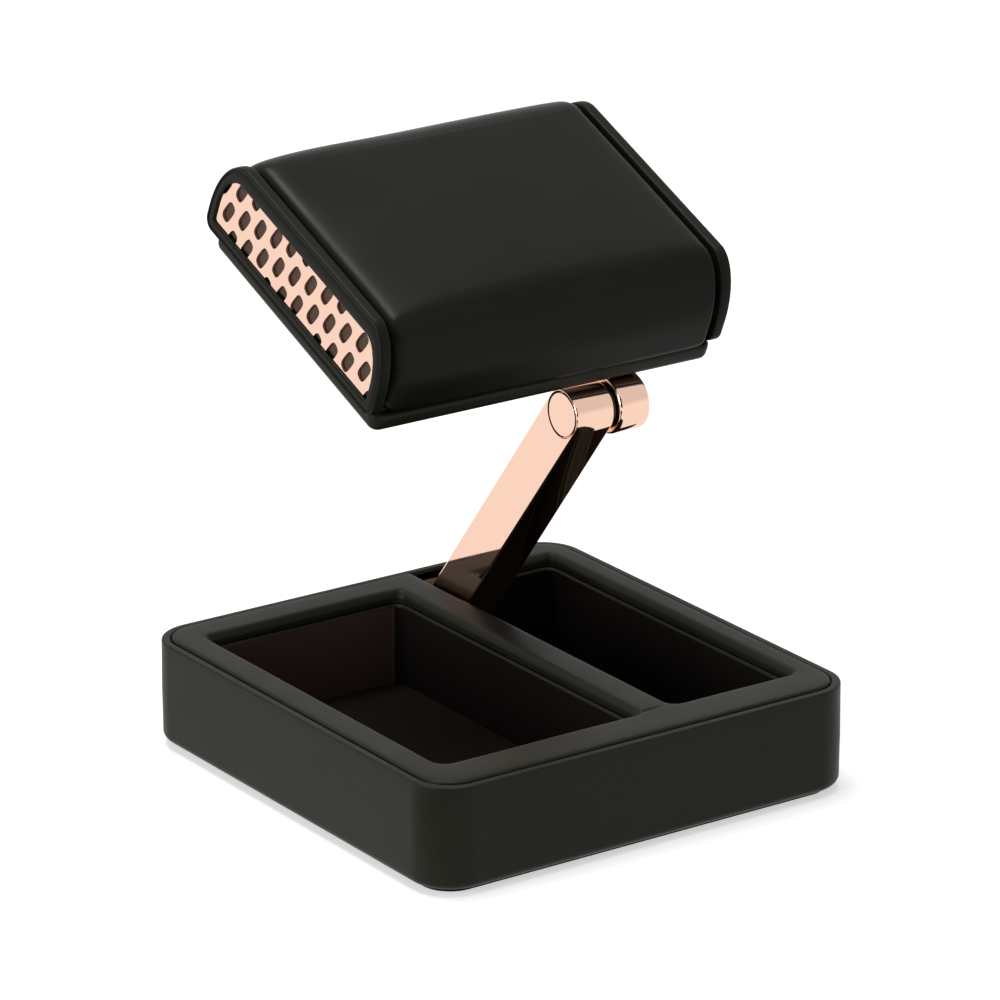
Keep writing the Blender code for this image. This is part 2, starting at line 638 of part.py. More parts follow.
def build_board(parts, cutters, head_joint):
    def outline(inset):
        left = SOFT_LEFT - BOARD_LEFT_RUN + inset
        right = SOFT_RIGHT + BOARD_RIGHT_RUN - inset
        return rounded_box(left, BOARD_FRONT + inset, right, BOARD_BACK - inset, BOARD_CORNER - inset)

    roll_top = BOARD_TOP + BOARD_ROUND
    wrap = extruded("board_wrap", [outline(0.0)], BOARD_BOTTOM, roll_top, BOARD_ROUND, parts, head_joint,
                    facets=4)
    above = extruded("board_above", [outline(-OVERRUN)], BOARD_TOP, roll_top + OVERRUN, 0.0, cutters,
                     head_joint)
    cut(wrap, above)
    recess_bottom = BOARD_BOTTOM + WRAP
    recess = extruded("board_recess", [outline(BOARD_EDGE_PAD)], recess_bottom, BOARD_TOP + OVERRUN, 0.0,
                      cutters, head_joint)
    cut(wrap, recess)
    core = extruded("board_core", [outline(BOARD_EDGE_PAD + GAP)], recess_bottom + GAP, BOARD_TOP, 0.0,
                    parts, head_joint)
    finish(wrap, black_leather("board_wrap"))
    finish(core, board_stock("board_core"))
    return [wrap, core]


def build_cushion(parts, head_joint):
    """A coarse cage of loaf-shaped rings, crowned in the middle and drawn in at both ends."""
    length = SOFT_RIGHT - SOFT_LEFT
    roll = CUSHION_ROLL / length
    shares = (0.0, roll, 0.2, 0.4, 0.6, 0.8, 1.0 - roll, 1.0)
    shape = bmesh.new()
    rings = []
    for share in shares:
        swell = CUSHION_CROWN * (1.0 - (2.0 * share - 1.0) ** 2)
        inset = CUSHION_INSET - swell
        if share in (0.0, 1.0):
            inset = CUSHION_INSET + CUSHION_DRAW
        x = SOFT_LEFT + share * length
        low = CAP_BOTTOM + max(0.0, inset - CUSHION_INSET)
        ring = [shape.verts.new((x, u, max(w, low))) for u, w in loaf(inset, CAP_FOOT_ROUND)]
        rings.append(ring)
    for ring, following in zip(rings, rings[1:]):
        for place in range(len(ring)):
            ahead = (place + 1) % len(ring)
            shape.faces.new((ring[place], ring[ahead], following[ahead], following[place]))
    shape.faces.new(rings[0])
    shape.faces.new(rings[-1])
    bmesh.ops.recalc_face_normals(shape, faces=shape.faces)
    mesh = bpy.data.meshes.new("cushion")
    shape.to_mesh(mesh)
    shape.free()
    cushion = mesh_object("cushion", mesh, parts, head_joint)
    finish(cushion, black_leather("cushion"), 60)


def inside_window(u, w, window):
    """True where a point lies within a closed outline, by counting crossings."""
    inside = False
    for (u0, w0), (u1, w1) in zip(window, window[1:] + window[:1]):
        if (w0 > w) != (w1 > w) and u < u0 + (w - w0) / (w1 - w0) * (u1 - u0):
            inside = not inside
    return inside


def dot_outline(u, w):
    """One upright oval of the perforation, leaning against the sheet."""
    points = []
    for x, y in arc(0.0, 0.0, DOT_WIDTH / 2, DOT_HEIGHT / 2, 0, 4)[:-1:2]:
        points.append((u + x * math.cos(DOT_LEAN) - y * math.sin(DOT_LEAN),
                       w + x * math.sin(DOT_LEAN) + y * math.cos(DOT_LEAN)))
    return points


def perforation(window):
    """Every dot of the slanting lattice whose middle lies on the sheet; its edge cuts some off."""
    dots = []
    reach = int(CAP_DEPTH / min(DOT_ALONG, DOT_ROW)) + 1
    for row in range(-reach, reach + 1):
        for column in range(-reach, reach + 1):
            u = (DOT_FIRST_U + column * DOT_ALONG * math.cos(DOT_ROW_ANGLE)
                 + row * DOT_ROW * math.cos(DOT_COLUMN_ANGLE))
            w = (DOT_FIRST_W + column * DOT_ALONG * math.sin(DOT_ROW_ANGLE)
                 + row * DOT_ROW * math.sin(DOT_COLUMN_ANGLE))
            if inside_window(u, w, window):
                dots.append(dot_outline(u, w))
    return dots


def build_caps(parts, cutters, head_joint):
    across = side_on(0.0, 0.0)
    outline = loaf(0.0, CAP_FOOT_ROUND)
    opening = window_outline(0.0)
    sheet = window_outline(GAP)
    for side, outer, inward in (("left", CAP_LEFT, 1), ("right", CAP_RIGHT, -1)):
        def span(start, thick):
            return sorted((outer + inward * start, outer + inward * (start + thick)))

        low, high = span(0.0, CAP_THICK)
        frame = extruded(side + "_cap_frame", [outline, opening], low, high, CAP_EDGE, parts,
                         head_joint, across)
        finish(frame, black_leather(side + "_cap_frame"))
        low, high = span(INLAY_RECESS, INLAY_THICK)
        inlay = extruded(side + "_inlay", [sheet], low, high, 0.0, parts, head_joint, across)
        dots = extruded(side + "_dots", perforation(sheet), low - OVERRUN, high + OVERRUN, 0.0, cutters,
                        head_joint, across)
        cut(inlay, dots)
        finish(inlay, rose_gold(side + "_inlay"))
        low, high = span(INLAY_RECESS + INLAY_THICK + GAP, BACKING_THICK)
        backing = extruded(side + "_backing", [sheet], low, high, 0.0, parts, head_joint, across)
        finish(backing, black_card(side + "_backing"))


def build():
    clear_scene()
    parts = new_collection("watch_stand")
    cutters = new_collection("cutters")
    floor = build_base(parts)
    build_wall(parts)
    build_frame(parts, cutters)
    build_liners(parts, cutters)
    build_divider(parts, cutters)
    build_clevis(parts, cutters, floor)
    arm_joint = joint("arm_joint", None, FOOT_Y, FOOT_Z, ARM_LEAN, parts)
    head_joint = joint("head_joint", arm_joint, 0.0, ARM_LENGTH, HEAD_TILT - ARM_LEAN, parts)
    build_arm(parts, cutters, arm_joint)
    board_pieces = build_board(parts, cutters, head_joint)
    build_hinge(parts, cutters, head_joint, board_pieces)
    build_cushion(parts, head_joint)
    build_caps(parts, cutters, head_joint)


build()
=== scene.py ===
# %% [markdown]
# # A watch stand in black leather and polished rose gold
# A low leather-covered tray with two suede compartments, one polished arm that leans out of a
# slot in the tray's back band, and a leather cushion at the arm's top for a watch or bracelet.
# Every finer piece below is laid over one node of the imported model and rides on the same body.

import json
import math

import bmesh
import bpy
import numpy as np
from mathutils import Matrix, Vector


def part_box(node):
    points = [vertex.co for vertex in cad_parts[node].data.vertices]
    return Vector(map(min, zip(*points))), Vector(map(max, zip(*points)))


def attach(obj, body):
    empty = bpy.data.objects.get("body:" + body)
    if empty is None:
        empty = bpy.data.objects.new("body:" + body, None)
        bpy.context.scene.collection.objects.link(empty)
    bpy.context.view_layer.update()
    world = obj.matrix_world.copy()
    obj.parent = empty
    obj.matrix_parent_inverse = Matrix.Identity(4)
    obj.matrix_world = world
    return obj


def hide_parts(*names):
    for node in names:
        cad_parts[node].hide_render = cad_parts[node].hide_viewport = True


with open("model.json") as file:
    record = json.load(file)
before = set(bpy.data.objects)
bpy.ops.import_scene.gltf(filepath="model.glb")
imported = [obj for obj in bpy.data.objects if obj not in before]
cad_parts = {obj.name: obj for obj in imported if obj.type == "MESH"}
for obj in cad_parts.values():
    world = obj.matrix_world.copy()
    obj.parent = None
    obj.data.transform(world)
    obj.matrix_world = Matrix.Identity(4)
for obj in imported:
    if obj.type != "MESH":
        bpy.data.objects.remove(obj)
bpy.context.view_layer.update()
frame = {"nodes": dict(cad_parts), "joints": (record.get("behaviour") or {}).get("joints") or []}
MM = 0.001

# %% [markdown]
# ## From a grid of points to a piece
# A shape here is a function of two parameters, worked out for the whole grid at once: row i is one
# parameter and column j the other. This helper joins neighbours into quads. It also keeps how far
# along each direction a point lies, in metres, as a UV map.

# %% A surface from a grid
def placed(name, data):
    """A new object with that data, in the scene."""
    made = bpy.data.objects.new(name, data)
    bpy.context.scene.collection.objects.link(made)
    return made


def lengths(grid, axis, closed):
    """Distance run along one direction of the grid, averaged over the other, in metres."""
    following = np.roll(grid, -1, axis=axis)
    steps = np.linalg.norm(following - grid, axis=-1).mean(axis=1 - axis)
    if not closed:
        steps = steps[:-1]
    return np.concatenate([[0.0], np.cumsum(steps)])


def surface(name, grid, rows_closed=False, capped=False, smooth=35):
    """Face (i, j) joins points (i, j), (i, j+1), (i+1, j+1), (i+1, j); columns always close."""
    rows, columns = grid.shape[:2]
    i, j = np.meshgrid(np.arange(rows if rows_closed else rows - 1), np.arange(columns), indexing="ij")
    row = np.stack([i, i, i + 1, i + 1], axis=-1).reshape(-1, 4)
    column = np.stack([j, j + 1, j + 1, j], axis=-1).reshape(-1, 4)
    faces = ((row % rows) * columns + column % columns).tolist()
    along = lengths(grid, 1, True)
    across = lengths(grid, 0, rows_closed)
    uv = np.stack([along[column], across[row]], axis=-1).reshape(-1, 2)
    if capped:
        faces += [list(range(columns)), list(range((rows - 1) * columns, rows * columns))]
        uv = np.concatenate([uv, np.zeros((2 * columns, 2))])
    mesh = bpy.data.meshes.new(name)
    mesh.from_pydata(grid.reshape(-1, 3), [], faces)
    mesh.uv_layers.new(name="run").data.foreach_set("uv", uv.ravel())
    face_outwards(mesh)
    shade(mesh, smooth)
    return placed(name, mesh)


def shade(mesh, smooth):
    """Smooth shading, with edges sharper than that angle in degrees kept."""
    mesh.shade_smooth()
    mesh.set_sharp_from_angle(angle=math.radians(smooth))


def face_outwards(mesh):
    shape = bmesh.new()
    shape.from_mesh(mesh)
    bmesh.ops.recalc_face_normals(shape, faces=shape.faces)
    shape.to_mesh(mesh)
    shape.free()


# %% [markdown]
# ## Outlines
# Nearly every piece is an outline with a section carried round it. An outline is quarter ellipses
# joined by straight runs, with a few points close to each end of a run, because a polished face
# shows any softness there as a bent reflection.

# %% Outlines
RUN = np.array([0.004, 0.02, 0.08, 0.2, 0.35, 0.5, 0.65, 0.8, 0.92, 0.98, 0.996])


def quarter(centre, radii, start, points=14):
    """Centre + (rx cos a, ry sin a), for a from start to start + 90 degrees."""
    angle = np.radians(start) + np.linspace(0.0, math.pi / 2, points)
    return np.stack([centre[0] + radii[0] * np.cos(angle), centre[1] + radii[1] * np.sin(angle)], axis=1)


def straight(start, end, shares=RUN):
    """Start + share * (end - start), for shares between 0 and 1."""
    return start + shares[:, None] * (end - start)


def joined(arcs):
    """Closes arcs into one loop with straight runs between them."""
    loop = []
    for arc, following in zip(arcs, arcs[1:] + arcs[:1]):
        loop += [arc, straight(arc[-1], following[0])]
    return np.concatenate(loop)


def corners(left, right, front, back, radii, points):
    """Quarter ellipses at the corners, anticlockwise from the right back one, each with its radii."""
    turns = (right, -1, back, -1), (left, 1, back, -1), (left, 1, front, 1), (right, -1, front, 1)
    return [quarter((x + sx * rx, y + sy * ry), (rx, ry), 90 * k, count)
            for k, ((x, sx, y, sy), (rx, ry), count) in enumerate(zip(turns, radii, points))]


def shrinking(left, right, front, back, radius, least=0.3 * MM, points=12):
    """A rectangle with round corners as a function of how far it is drawn in."""
    def plan(inset):
        r = max(radius - inset, least)
        return joined(corners(left + inset, right - inset, front + inset, back - inset, [(r, r)] * 4, [points] * 4))
    return plan


def flat(plan, height):
    """Lays an outline in the tray's plane: (x, y) at z = height."""
    return np.concatenate([plan, np.full((len(plan), 1), height)], axis=1)


def carried(name, outline, section, place=flat, **finish):
    """A section of (inset, height) pairs carried round: S(i, j) = place(outline(inset i) j, height i)."""
    grid = np.stack([place(outline(inset), height) for inset, height in section])
    return surface(name, grid, **finish)


def bend(centre, radii, start, end, points=7):
    """Points (inset, height) of an elliptic arc of a section, between two angles in degrees."""
    angle = np.radians(np.linspace(start, end, points))
    return [(centre[0] + radii[0] * c, centre[1] + radii[1] * s) for c, s in zip(np.cos(angle), np.sin(angle))]


# %% [markdown]
# ## Where things are
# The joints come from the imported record. The head leans back by 23 degrees, so its pieces are
# drawn in its own frame, x along the cushion, u to the back and w up from the pivot, and then
# turned into place.

# %% Frames of the arm and the head
joints = {joint["name"]: np.array(joint["pos_m"]) for joint in frame["joints"]}
FOOT = joints["arm_fold"]
PIVOT = joints["head_tilt"]
TILT = math.radians(23.07)
LEAN = math.atan2(FOOT[1] - PIVOT[1], PIVOT[2] - FOOT[2])
ARM_LENGTH = math.hypot(FOOT[1] - PIVOT[1], PIVOT[2] - FOOT[2])
print("arm leans %.1f degrees, %.1f mm between its pivots" % (math.degrees(LEAN), ARM_LENGTH / MM))


def on_head(plan, x):
    """(u, w) at x: y = pivot + u cos T - w sin T, z = pivot + u sin T + w cos T."""
    u, w = plan[..., 0], plan[..., 1]
    y = PIVOT[1] + u * math.cos(TILT) - w * math.sin(TILT)
    z = PIVOT[2] + u * math.sin(TILT) + w * math.cos(TILT)
    return np.stack([np.broadcast_to(x, y.shape), y, z], axis=-1)


def on_arm(plan, x):
    """(t, s) at x: s runs up the leaning arm from the foot, t across it."""
    t, s = plan[..., 0], plan[..., 1]
    y = FOOT[1] - s * math.sin(LEAN) + t * math.cos(LEAN)
    z = FOOT[2] + s * math.cos(LEAN) + t * math.sin(LEAN)
    return np.stack([np.broadcast_to(x, y.shape), y, z], axis=-1)


def turned(name, profile, place, points=96, ring=False):
    """Profile (radius, height) turned about an axis: S(i, j) = place(r_i (cos a_j, sin a_j), h_i)."""
    angle = np.linspace(0.0, 2 * math.pi, points, endpoint=False)
    circle = np.stack([np.cos(angle), np.sin(angle)], axis=1)
    grid = np.stack([place(radius * circle, height) for radius, height in profile])
    return surface(name, grid, rows_closed=ring, capped=not ring)


def settled(piece):
    """Keeps what the piece's modifiers give as its mesh."""
    shape = piece.evaluated_get(bpy.context.evaluated_depsgraph_get())
    mesh = bpy.data.meshes.new_from_object(shape)
    piece.modifiers.clear()
    old, piece.data = piece.data, mesh
    bpy.data.meshes.remove(old)
    mesh.name = piece.name


def bored(piece, cutters, smooth=35):
    """Takes the cutters out of the piece."""
    for cutter in cutters:
        modifier = piece.modifiers.new(cutter.name, "BOOLEAN")
        modifier.operation = "DIFFERENCE"
        modifier.solver = "EXACT"
        modifier.object = cutter
    settled(piece)
    for cutter in cutters:
        bpy.data.objects.remove(cutter)
    shade(piece.data, smooth)


# %% [markdown]
# ## Finishes
# One helper adds a shader node with its settings and its links, and one turns a screen colour
# into linear values. Each finish starts from what the real material is and how it was made.

# %% Nodes and colours
def colour(hex_value):
    """sRGB to linear: c / 12.92 below 0.04045, else ((c + 0.055) / 1.055) ^ 2.4."""
    srgb = np.array([int(hex_value[k:k + 2], 16) for k in (1, 3, 5)]) / 255
    linear = np.where(srgb <= 0.04045, srgb / 12.92, ((srgb + 0.055) / 1.055) ** 2.4)
    return (*linear.tolist(), 1.0)


def add(tree, kind, inputs=None, **settings):
    """One node: settings are its own, inputs are values or another node's output to link."""
    node = tree.nodes.new(kind)
    for key, value in settings.items():
        setattr(node, key, value)
    for key, value in (inputs or {}).items():
        if isinstance(value, bpy.types.NodeSocket):
            tree.links.new(value, node.inputs[key])
        else:
            node.inputs[key].default_value = value
    return node


def feed(tree, shader, **sockets):
    """Links these outputs to the shader's own sockets."""
    for key, socket in sockets.items():
        tree.links.new(socket, shader.inputs[key.replace("_", " ")])


def new_finish(name, **inputs):
    """A material of that name with its constants on the Principled shader's own sockets."""
    material = bpy.data.materials.new(name)
    material.use_nodes = True
    tree = material.node_tree
    shader = tree.nodes["Principled BSDF"]
    for key, value in inputs.items():
        shader.inputs[key.replace("_", " ")].default_value = value
    where = add(tree, "ShaderNodeTexCoord").outputs["Object"]
    return material, tree, shader, where


# %% [markdown]
# ### Smooth calf leather
# The tray, the end frames and the board are covered in thin pigmented calf: split leather,
# sprayed black with a warm olive cast and pressed nearly smooth. The finish coat gives a soft, wide
# highlight, weaker than bare gloss, and hides most of the grain, so the pores are only a faint
# bump. Their cells are about 0.6 mm. Slow patches of slightly different gloss show where the
# leather was handled. The end frames' leather is pared thin and given a darker tone with a weaker
# coat, and the cushion's is a softer nappa with a little more gloss.

# %% Calf leather
PORE = 0.6 * MM


def calf_leather(name, dark, light, roughness, pore_depth, coat):
    material, tree, shader, where = new_finish(name, Specular_IOR_Level=coat)
    patches = add(tree, "ShaderNodeTexNoise", {"Vector": where, "Scale": 1 / (22 * MM), "Detail": 3.0})
    hue = add(tree, "ShaderNodeMix", {"Factor": patches.outputs["Fac"], 6: dark, 7: light}, data_type="RGBA")
    gloss = add(tree, "ShaderNodeMapRange", {"Value": patches.outputs["Fac"], "From Min": 0.3, "From Max": 0.7,
                                             "To Min": roughness - 0.04, "To Max": roughness + 0.05})
    pores = add(tree, "ShaderNodeTexVoronoi", {"Vector": where, "Scale": 1 / PORE}, feature="SMOOTH_F1")
    wrinkles = add(tree, "ShaderNodeTexNoise", {"Vector": where, "Scale": 1 / (3 * MM), "Detail": 4.0})
    relief = add(tree, "ShaderNodeMath", {0: pores.outputs["Distance"], 1: wrinkles.outputs["Fac"]}, operation="ADD")
    bump = add(tree, "ShaderNodeBump", {"Height": relief.outputs["Value"], "Strength": 1.0, "Distance": pore_depth})
    feed(tree, shader, Base_Color=hue.outputs[2], Roughness=gloss.outputs["Result"], Normal=bump.outputs["Normal"])
    return material


leather = calf_leather("pigmented_calf_leather", colour("#191910"), colour("#222219"), 0.42, 0.012 * MM, 0.13)
# The end frames' copy of the calf is darker and has a weaker coat.
edge_leather = calf_leather("pared_calf_leather", colour("#12120c"), colour("#191912"), 0.42, 0.012 * MM, 0.09)
padded_leather = calf_leather("soft_nappa_leather", colour("#12120d"), colour("#171712"), 0.34, 0.008 * MM, 0.1)

# %% [markdown]
# ### Suede lining
# The compartments are lined with microfibre suede: very fine fibres sanded up into a nap. It has
# no highlight at all, turns light away in all directions, and shows paler patches where the nap
# lies the other way. The panel at the back of the left compartment faces the front and is painted
# paler and browner than the others: painted light, as if light fell on it from the front. The left
# compartment's floor is painted lighter than the right one's, which lies in the head's shade: painted
# light too. Fibres are some hundredths of a millimetre, too fine to see here, so the nap is drawn at
# 0.35 mm.

# %% Suede
def sanded_suede(name, dark, light, lit_front_face):
    material, tree, shader, where = new_finish(name, Roughness=0.95, Specular_IOR_Level=0.1,
                                               Sheen_Weight=0.05, Sheen_Roughness=0.5)
    shader.inputs["Sheen Tint"].default_value = colour("#6b5348")
    nap = add(tree, "ShaderNodeTexNoise", {"Vector": where, "Scale": 1 / (0.35 * MM), "Detail": 2.0})
    brushed = add(tree, "ShaderNodeTexNoise", {"Vector": where, "Scale": 1 / (14 * MM), "Detail": 2.0})
    share = add(tree, "ShaderNodeMath", {0: nap.outputs["Fac"], 1: brushed.outputs["Fac"]}, operation="MULTIPLY")
    hue = add(tree, "ShaderNodeMix", {"Factor": share.outputs["Value"], 6: dark, 7: light}, data_type="RGBA")
    # Painted light: faces that look to the front take the lighter colour, as if lit from the front.
    face = add(tree, "ShaderNodeNewGeometry").outputs["True Normal"]
    to_front = add(tree, "ShaderNodeVectorMath", {0: face, 1: (0.0, -1.0, 0.0)}, operation="DOT_PRODUCT")
    panel = add(tree, "ShaderNodeMath", {0: to_front.outputs["Value"], 1: 0.9}, operation="GREATER_THAN")
    both = add(tree, "ShaderNodeMix", {"Factor": panel.outputs["Value"], 6: hue.outputs[2], 7: lit_front_face},
               data_type="RGBA")
    bump = add(tree, "ShaderNodeBump", {"Height": nap.outputs["Fac"], "Distance": 0.03 * MM})
    feed(tree, shader, Base_Color=both.outputs[2], Normal=bump.outputs["Normal"])
    return material


suede = sanded_suede("microfibre_suede", colour("#0c0908"), colour("#1c1511"), colour("#0c0908"))
# Painted light: the left floor is a lighter copy of the suede than the right floor, which lies in the head's shade.
lit_floor_suede = sanded_suede("microfibre_suede_floor_painted_lighter", colour("#16110e"), colour("#291f1a"), colour("#16110e"))
# Painted light: the left liner's back panel, which faces the front, is painted paler and browner.
painted_lit_suede = sanded_suede("microfibre_suede_lit_back_panel", colour("#0c0908"), colour("#1c1511"), colour("#453530"))

# %% [markdown]
# ### Rose gold plating
# The arm, the hinge and the perforated sheets are steel, buffed to a mirror and plated with a
# thin layer of gold and copper. A plated mirror keeps the base metal's gentle waviness, some
# millimetres long and a few microns deep, and fine rubbing lines that change its gloss a little.

# %% Plated metal
def plated_mirror(name, tone, roughness, wave):
    material, tree, shader, where = new_finish(name, Base_Color=tone, Metallic=1.0)
    rubbed = add(tree, "ShaderNodeTexNoise", {"Vector": where, "Scale": 1 / (5 * MM), "Detail": 5.0})
    gloss = add(tree, "ShaderNodeMapRange", {"Value": rubbed.outputs["Fac"], "From Min": 0.3, "From Max": 0.7,
                                             "To Min": roughness, "To Max": roughness + 0.03})
    waves = add(tree, "ShaderNodeTexNoise", {"Vector": where, "Scale": 1 / (9 * MM), "Detail": 1.0})
    bump = add(tree, "ShaderNodeBump", {"Height": waves.outputs["Fac"], "Distance": wave})
    feed(tree, shader, Roughness=gloss.outputs["Result"], Normal=bump.outputs["Normal"])
    return material


rose_gold = plated_mirror("polished_rose_gold_plate", colour("#fbd3bd"), 0.03, 0.004 * MM)
sheet_gold = plated_mirror("polished_rose_gold_sheet", colour("#fbd3bd"), 0.08, 0.006 * MM)

# %% [markdown]
# ### Hidden materials
# Grey board makes the stiff cores, but the board under the top frame and the wall between the
# compartments are blackened, so that no pale line shows at a seam. Brown-black card backs the
# perforated sheets, felt covers the underside, and the clevis, rivets, foot pin, washer and hinge
# screws are blackened steel.

# %% Board, card and blackened steel
def pressed_fibre(name, dark, light, roughness, fibre):
    material, tree, shader, where = new_finish(name, Roughness=roughness, Specular_IOR_Level=0.25)
    fibres = add(tree, "ShaderNodeTexNoise", {"Vector": where, "Scale": 1 / fibre, "Detail": 4.0, "Distortion": 1.5})
    hue = add(tree, "ShaderNodeMix", {"Factor": fibres.outputs["Fac"], 6: dark, 7: light}, data_type="RGBA")
    bump = add(tree, "ShaderNodeBump", {"Height": fibres.outputs["Fac"], "Distance": 0.02 * MM})
    feed(tree, shader, Base_Color=hue.outputs[2], Normal=bump.outputs["Normal"])
    return material


grey_board = pressed_fibre("grey_bookbinding_board", colour("#6e5f50"), colour("#8d7c69"), 0.85, 1.2 * MM)
card = pressed_fibre("brown_black_card", colour("#49382e"), colour("#5e4a3e"), 0.7, 0.8 * MM)
felt = pressed_fibre("black_pressed_felt", colour("#0f0f0d"), colour("#191917"), 0.95, 0.6 * MM)
blackened = plated_mirror("blackened_steel", colour("#3b3836"), 0.34, 0.004 * MM)


def dress(piece, body, slot, finish, *nodes):
    """Gives a piece its finish and its body, and hides the nodes it stands for. The slot is not used."""
    piece.data.materials.clear()
    piece.data.materials.append(finish)
    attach(piece, body)
    if nodes:
        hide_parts(*nodes)
    triangles = sum(len(polygon.vertices) - 2 for polygon in piece.data.polygons)
    print("%s: %d triangles" % (piece.name, triangles))


def refinish(finish, *nodes):
    """A node whose shape is right keeps it and gets a better material."""
    for name in nodes:
        for place in frame["nodes"][name].material_slots:
            place.material = finish


refinish(grey_board, "floor_board", "wall_core", "board_core")
refinish(felt, "frame_board", "divider_core")
refinish(card, "left_backing", "right_backing")
refinish(blackened, "foot_clevis", "clevis_rivet_1", "clevis_rivet_2", "foot_pin")

# %% [markdown]
# ## The tray's wall
# One strip of leather wraps the wall: it comes from under the floor, rolls round the foot, climbs
# the face, turns over the top edge and ends inside. So it is one closed section carried round. The
# top edge has a small round, which draws the thin bright line along the rim.

# %% Wall
wall_low, wall_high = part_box("wall_wrap")
HALF_X, HALF_Y = wall_high.x, wall_high.y
RIM, FOOT_Z = wall_high.z, wall_low.z
CORNER = 11.7 * MM
WALL = 2.3 * MM
WRAP = 0.7 * MM
FOOT_ROUND = 2.4 * MM

tray_plan = shrinking(-HALF_X, HALF_X, -HALF_Y, HALF_Y, CORNER, points=20)
section = (
    [(7.0 * MM, FOOT_Z), (4.0 * MM, FOOT_Z)]
    + bend((FOOT_ROUND, FOOT_Z + FOOT_ROUND), (-FOOT_ROUND, -FOOT_ROUND), 90, 0, 10)
    + [(0.0, FOOT_Z + 6 * MM), (-0.1 * MM, (FOOT_Z + RIM) / 2), (0.0, RIM - 4 * MM)]
    + bend((0.55 * MM, RIM - 0.55 * MM), (-0.55 * MM, 0.55 * MM), 0, 90, 7)
    + bend((WALL - 0.5 * MM, RIM - 0.5 * MM), (0.5 * MM, 0.5 * MM), 90, 0, 6)
    + [(WALL, RIM - 3 * MM), (WALL - 0.6 * MM, RIM - 3 * MM), (WALL - 0.6 * MM, RIM - WRAP), (WRAP, RIM - WRAP)]
    + bend((FOOT_ROUND, FOOT_Z + FOOT_ROUND), (WRAP - FOOT_ROUND, WRAP - FOOT_ROUND), 0, 90, 6)
    + [(7.0 * MM, FOOT_Z + WRAP)]
)
wall = carried("tray_wall_leather", tray_plan, section, rows_closed=True)
dress(wall, "tray", "black_leather", leather, "wall_wrap")

# %% [markdown]
# ## The sheet under the tray
# A felt sheet covers the turned-in leather and keeps the stand from sliding. Its edge is the dark
# line under the tray.

# %% Felt sheet
pad_low, pad_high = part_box("base_pad")
section = [(4.2 * MM, pad_low.z), (3.6 * MM, pad_low.z + 0.1 * MM), (3.5 * MM, pad_low.z + 0.5 * MM),
           (3.6 * MM, pad_high.z - 0.1 * MM), (4.2 * MM, pad_high.z)]
sheet = carried("felt_sheet", tray_plan, section, capped=True)
dress(sheet, "tray", "black_card", felt, "base_pad")

# %% [markdown]
# ## The padded top
# One skin of leather covers the tray's top: the ring round it and the strip between the two
# compartments. It is glued over thin foam, tight at the outer edge and rolled softly down into each
# opening. Its height is worked out once, from the distances to the edges, so the ring and the
# strip meet flush.

# %% Height of the padded top
frame_low, frame_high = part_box("frame_pad")
strip_low, strip_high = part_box("divider_strip")
TOP, UNDER = frame_high.z, frame_low.z
INNER = (-53.4 * MM, 55.5 * MM, -52.2 * MM, 55.0 * MM)
SLOT = (17.2 * MM, 31.5 * MM)
EDGE = WALL + 0.4 * MM
ROLL, FALL, OUTER_ROLL = 1.9 * MM, 2.0 * MM, 0.7 * MM
SOFT_CORNER, SHARP_CORNER = 3.4 * MM, 1.4 * MM
SWEEP = 3.0 * MM


def box_distance(x, y, left, right, front, back, radii):
    """Distance outside a rectangle whose corners have their own radii, anticlockwise from right back:
    with q = |p - middle| - half + r it is |max(q, 0)| + min(max(qx, qy), 0) - r."""
    px, py = x - (left + right) / 2, y - (front + back) / 2
    r = np.where(px > 0, np.where(py > 0, radii[0], radii[3]), np.where(py > 0, radii[1], radii[2]))
    qx, qy = np.abs(px) - (right - left) / 2 + r, np.abs(py) - (back - front) / 2 + r
    return np.hypot(np.maximum(qx, 0), np.maximum(qy, 0)) + np.minimum(np.maximum(qx, qy), 0) - r


def rolled(distance, wide, deep):
    """How far a rolled edge falls: a quarter ellipse, deep (1 - sqrt(1 - (1 - d / wide)^2))."""
    inside = np.clip(1 - distance / wide, 0.0, 1.0)
    return deep * (1 - np.sqrt(1 - inside ** 2))


def top_height(x, y):
    """Foam's crown, less the roll into the openings, the tight roll outside, the tuck and ripples."""
    left = box_distance(x, y, INNER[0], strip_low.x, INNER[2], INNER[3], (SWEEP, SHARP_CORNER, SOFT_CORNER, 0.6 * MM))
    right = box_distance(x, y, SLOT[0], INNER[1], INNER[2], INNER[3], (SHARP_CORNER, 0.0, SWEEP, SHARP_CORNER))
    slot = box_distance(x, y, SLOT[0], SLOT[1], 40 * MM, 80 * MM, (0.0, 0.0, 0.0, 0.0))
    rim = -box_distance(x, y, -HALF_X + EDGE, HALF_X - EDGE, -HALF_Y + EDGE, HALF_Y - EDGE, (CORNER - EDGE,) * 4)
    near = np.maximum(np.stack([left, right, slot]), 1e-6)
    opening = (near ** -4.0).sum(axis=0) ** -0.25
    middle = 1 / (1 / opening + 1 / np.maximum(rim, 1e-6))
    height = TOP - 0.12 * MM + 0.28 * MM * (1 - np.exp(-middle / (1.3 * MM)))
    height = height - rolled(opening, ROLL, FALL) - rolled(rim, OUTER_ROLL, OUTER_ROLL)
    tuck = np.exp(-((y - INNER[2]) / (0.45 * MM)) ** 2) / (1 + np.exp((x - 12.0 * MM) / (0.7 * MM)))
    height = height - 0.45 * MM * tuck * (x > strip_low.x - 0.5 * MM)
    ripple = np.sin(x / (7.3 * MM) + 2 * np.sin(y / (9.1 * MM))) * np.sin(y / (6.1 * MM) + 1.0)
    return np.maximum(height + 0.04 * MM * ripple, UNDER)


# %% [markdown]
# ### The ring
# Every station joins a point of the outer outline to one of the inner outline, because the ring is
# wider in front than at the sides. The slot for the arm cuts it open at the back.

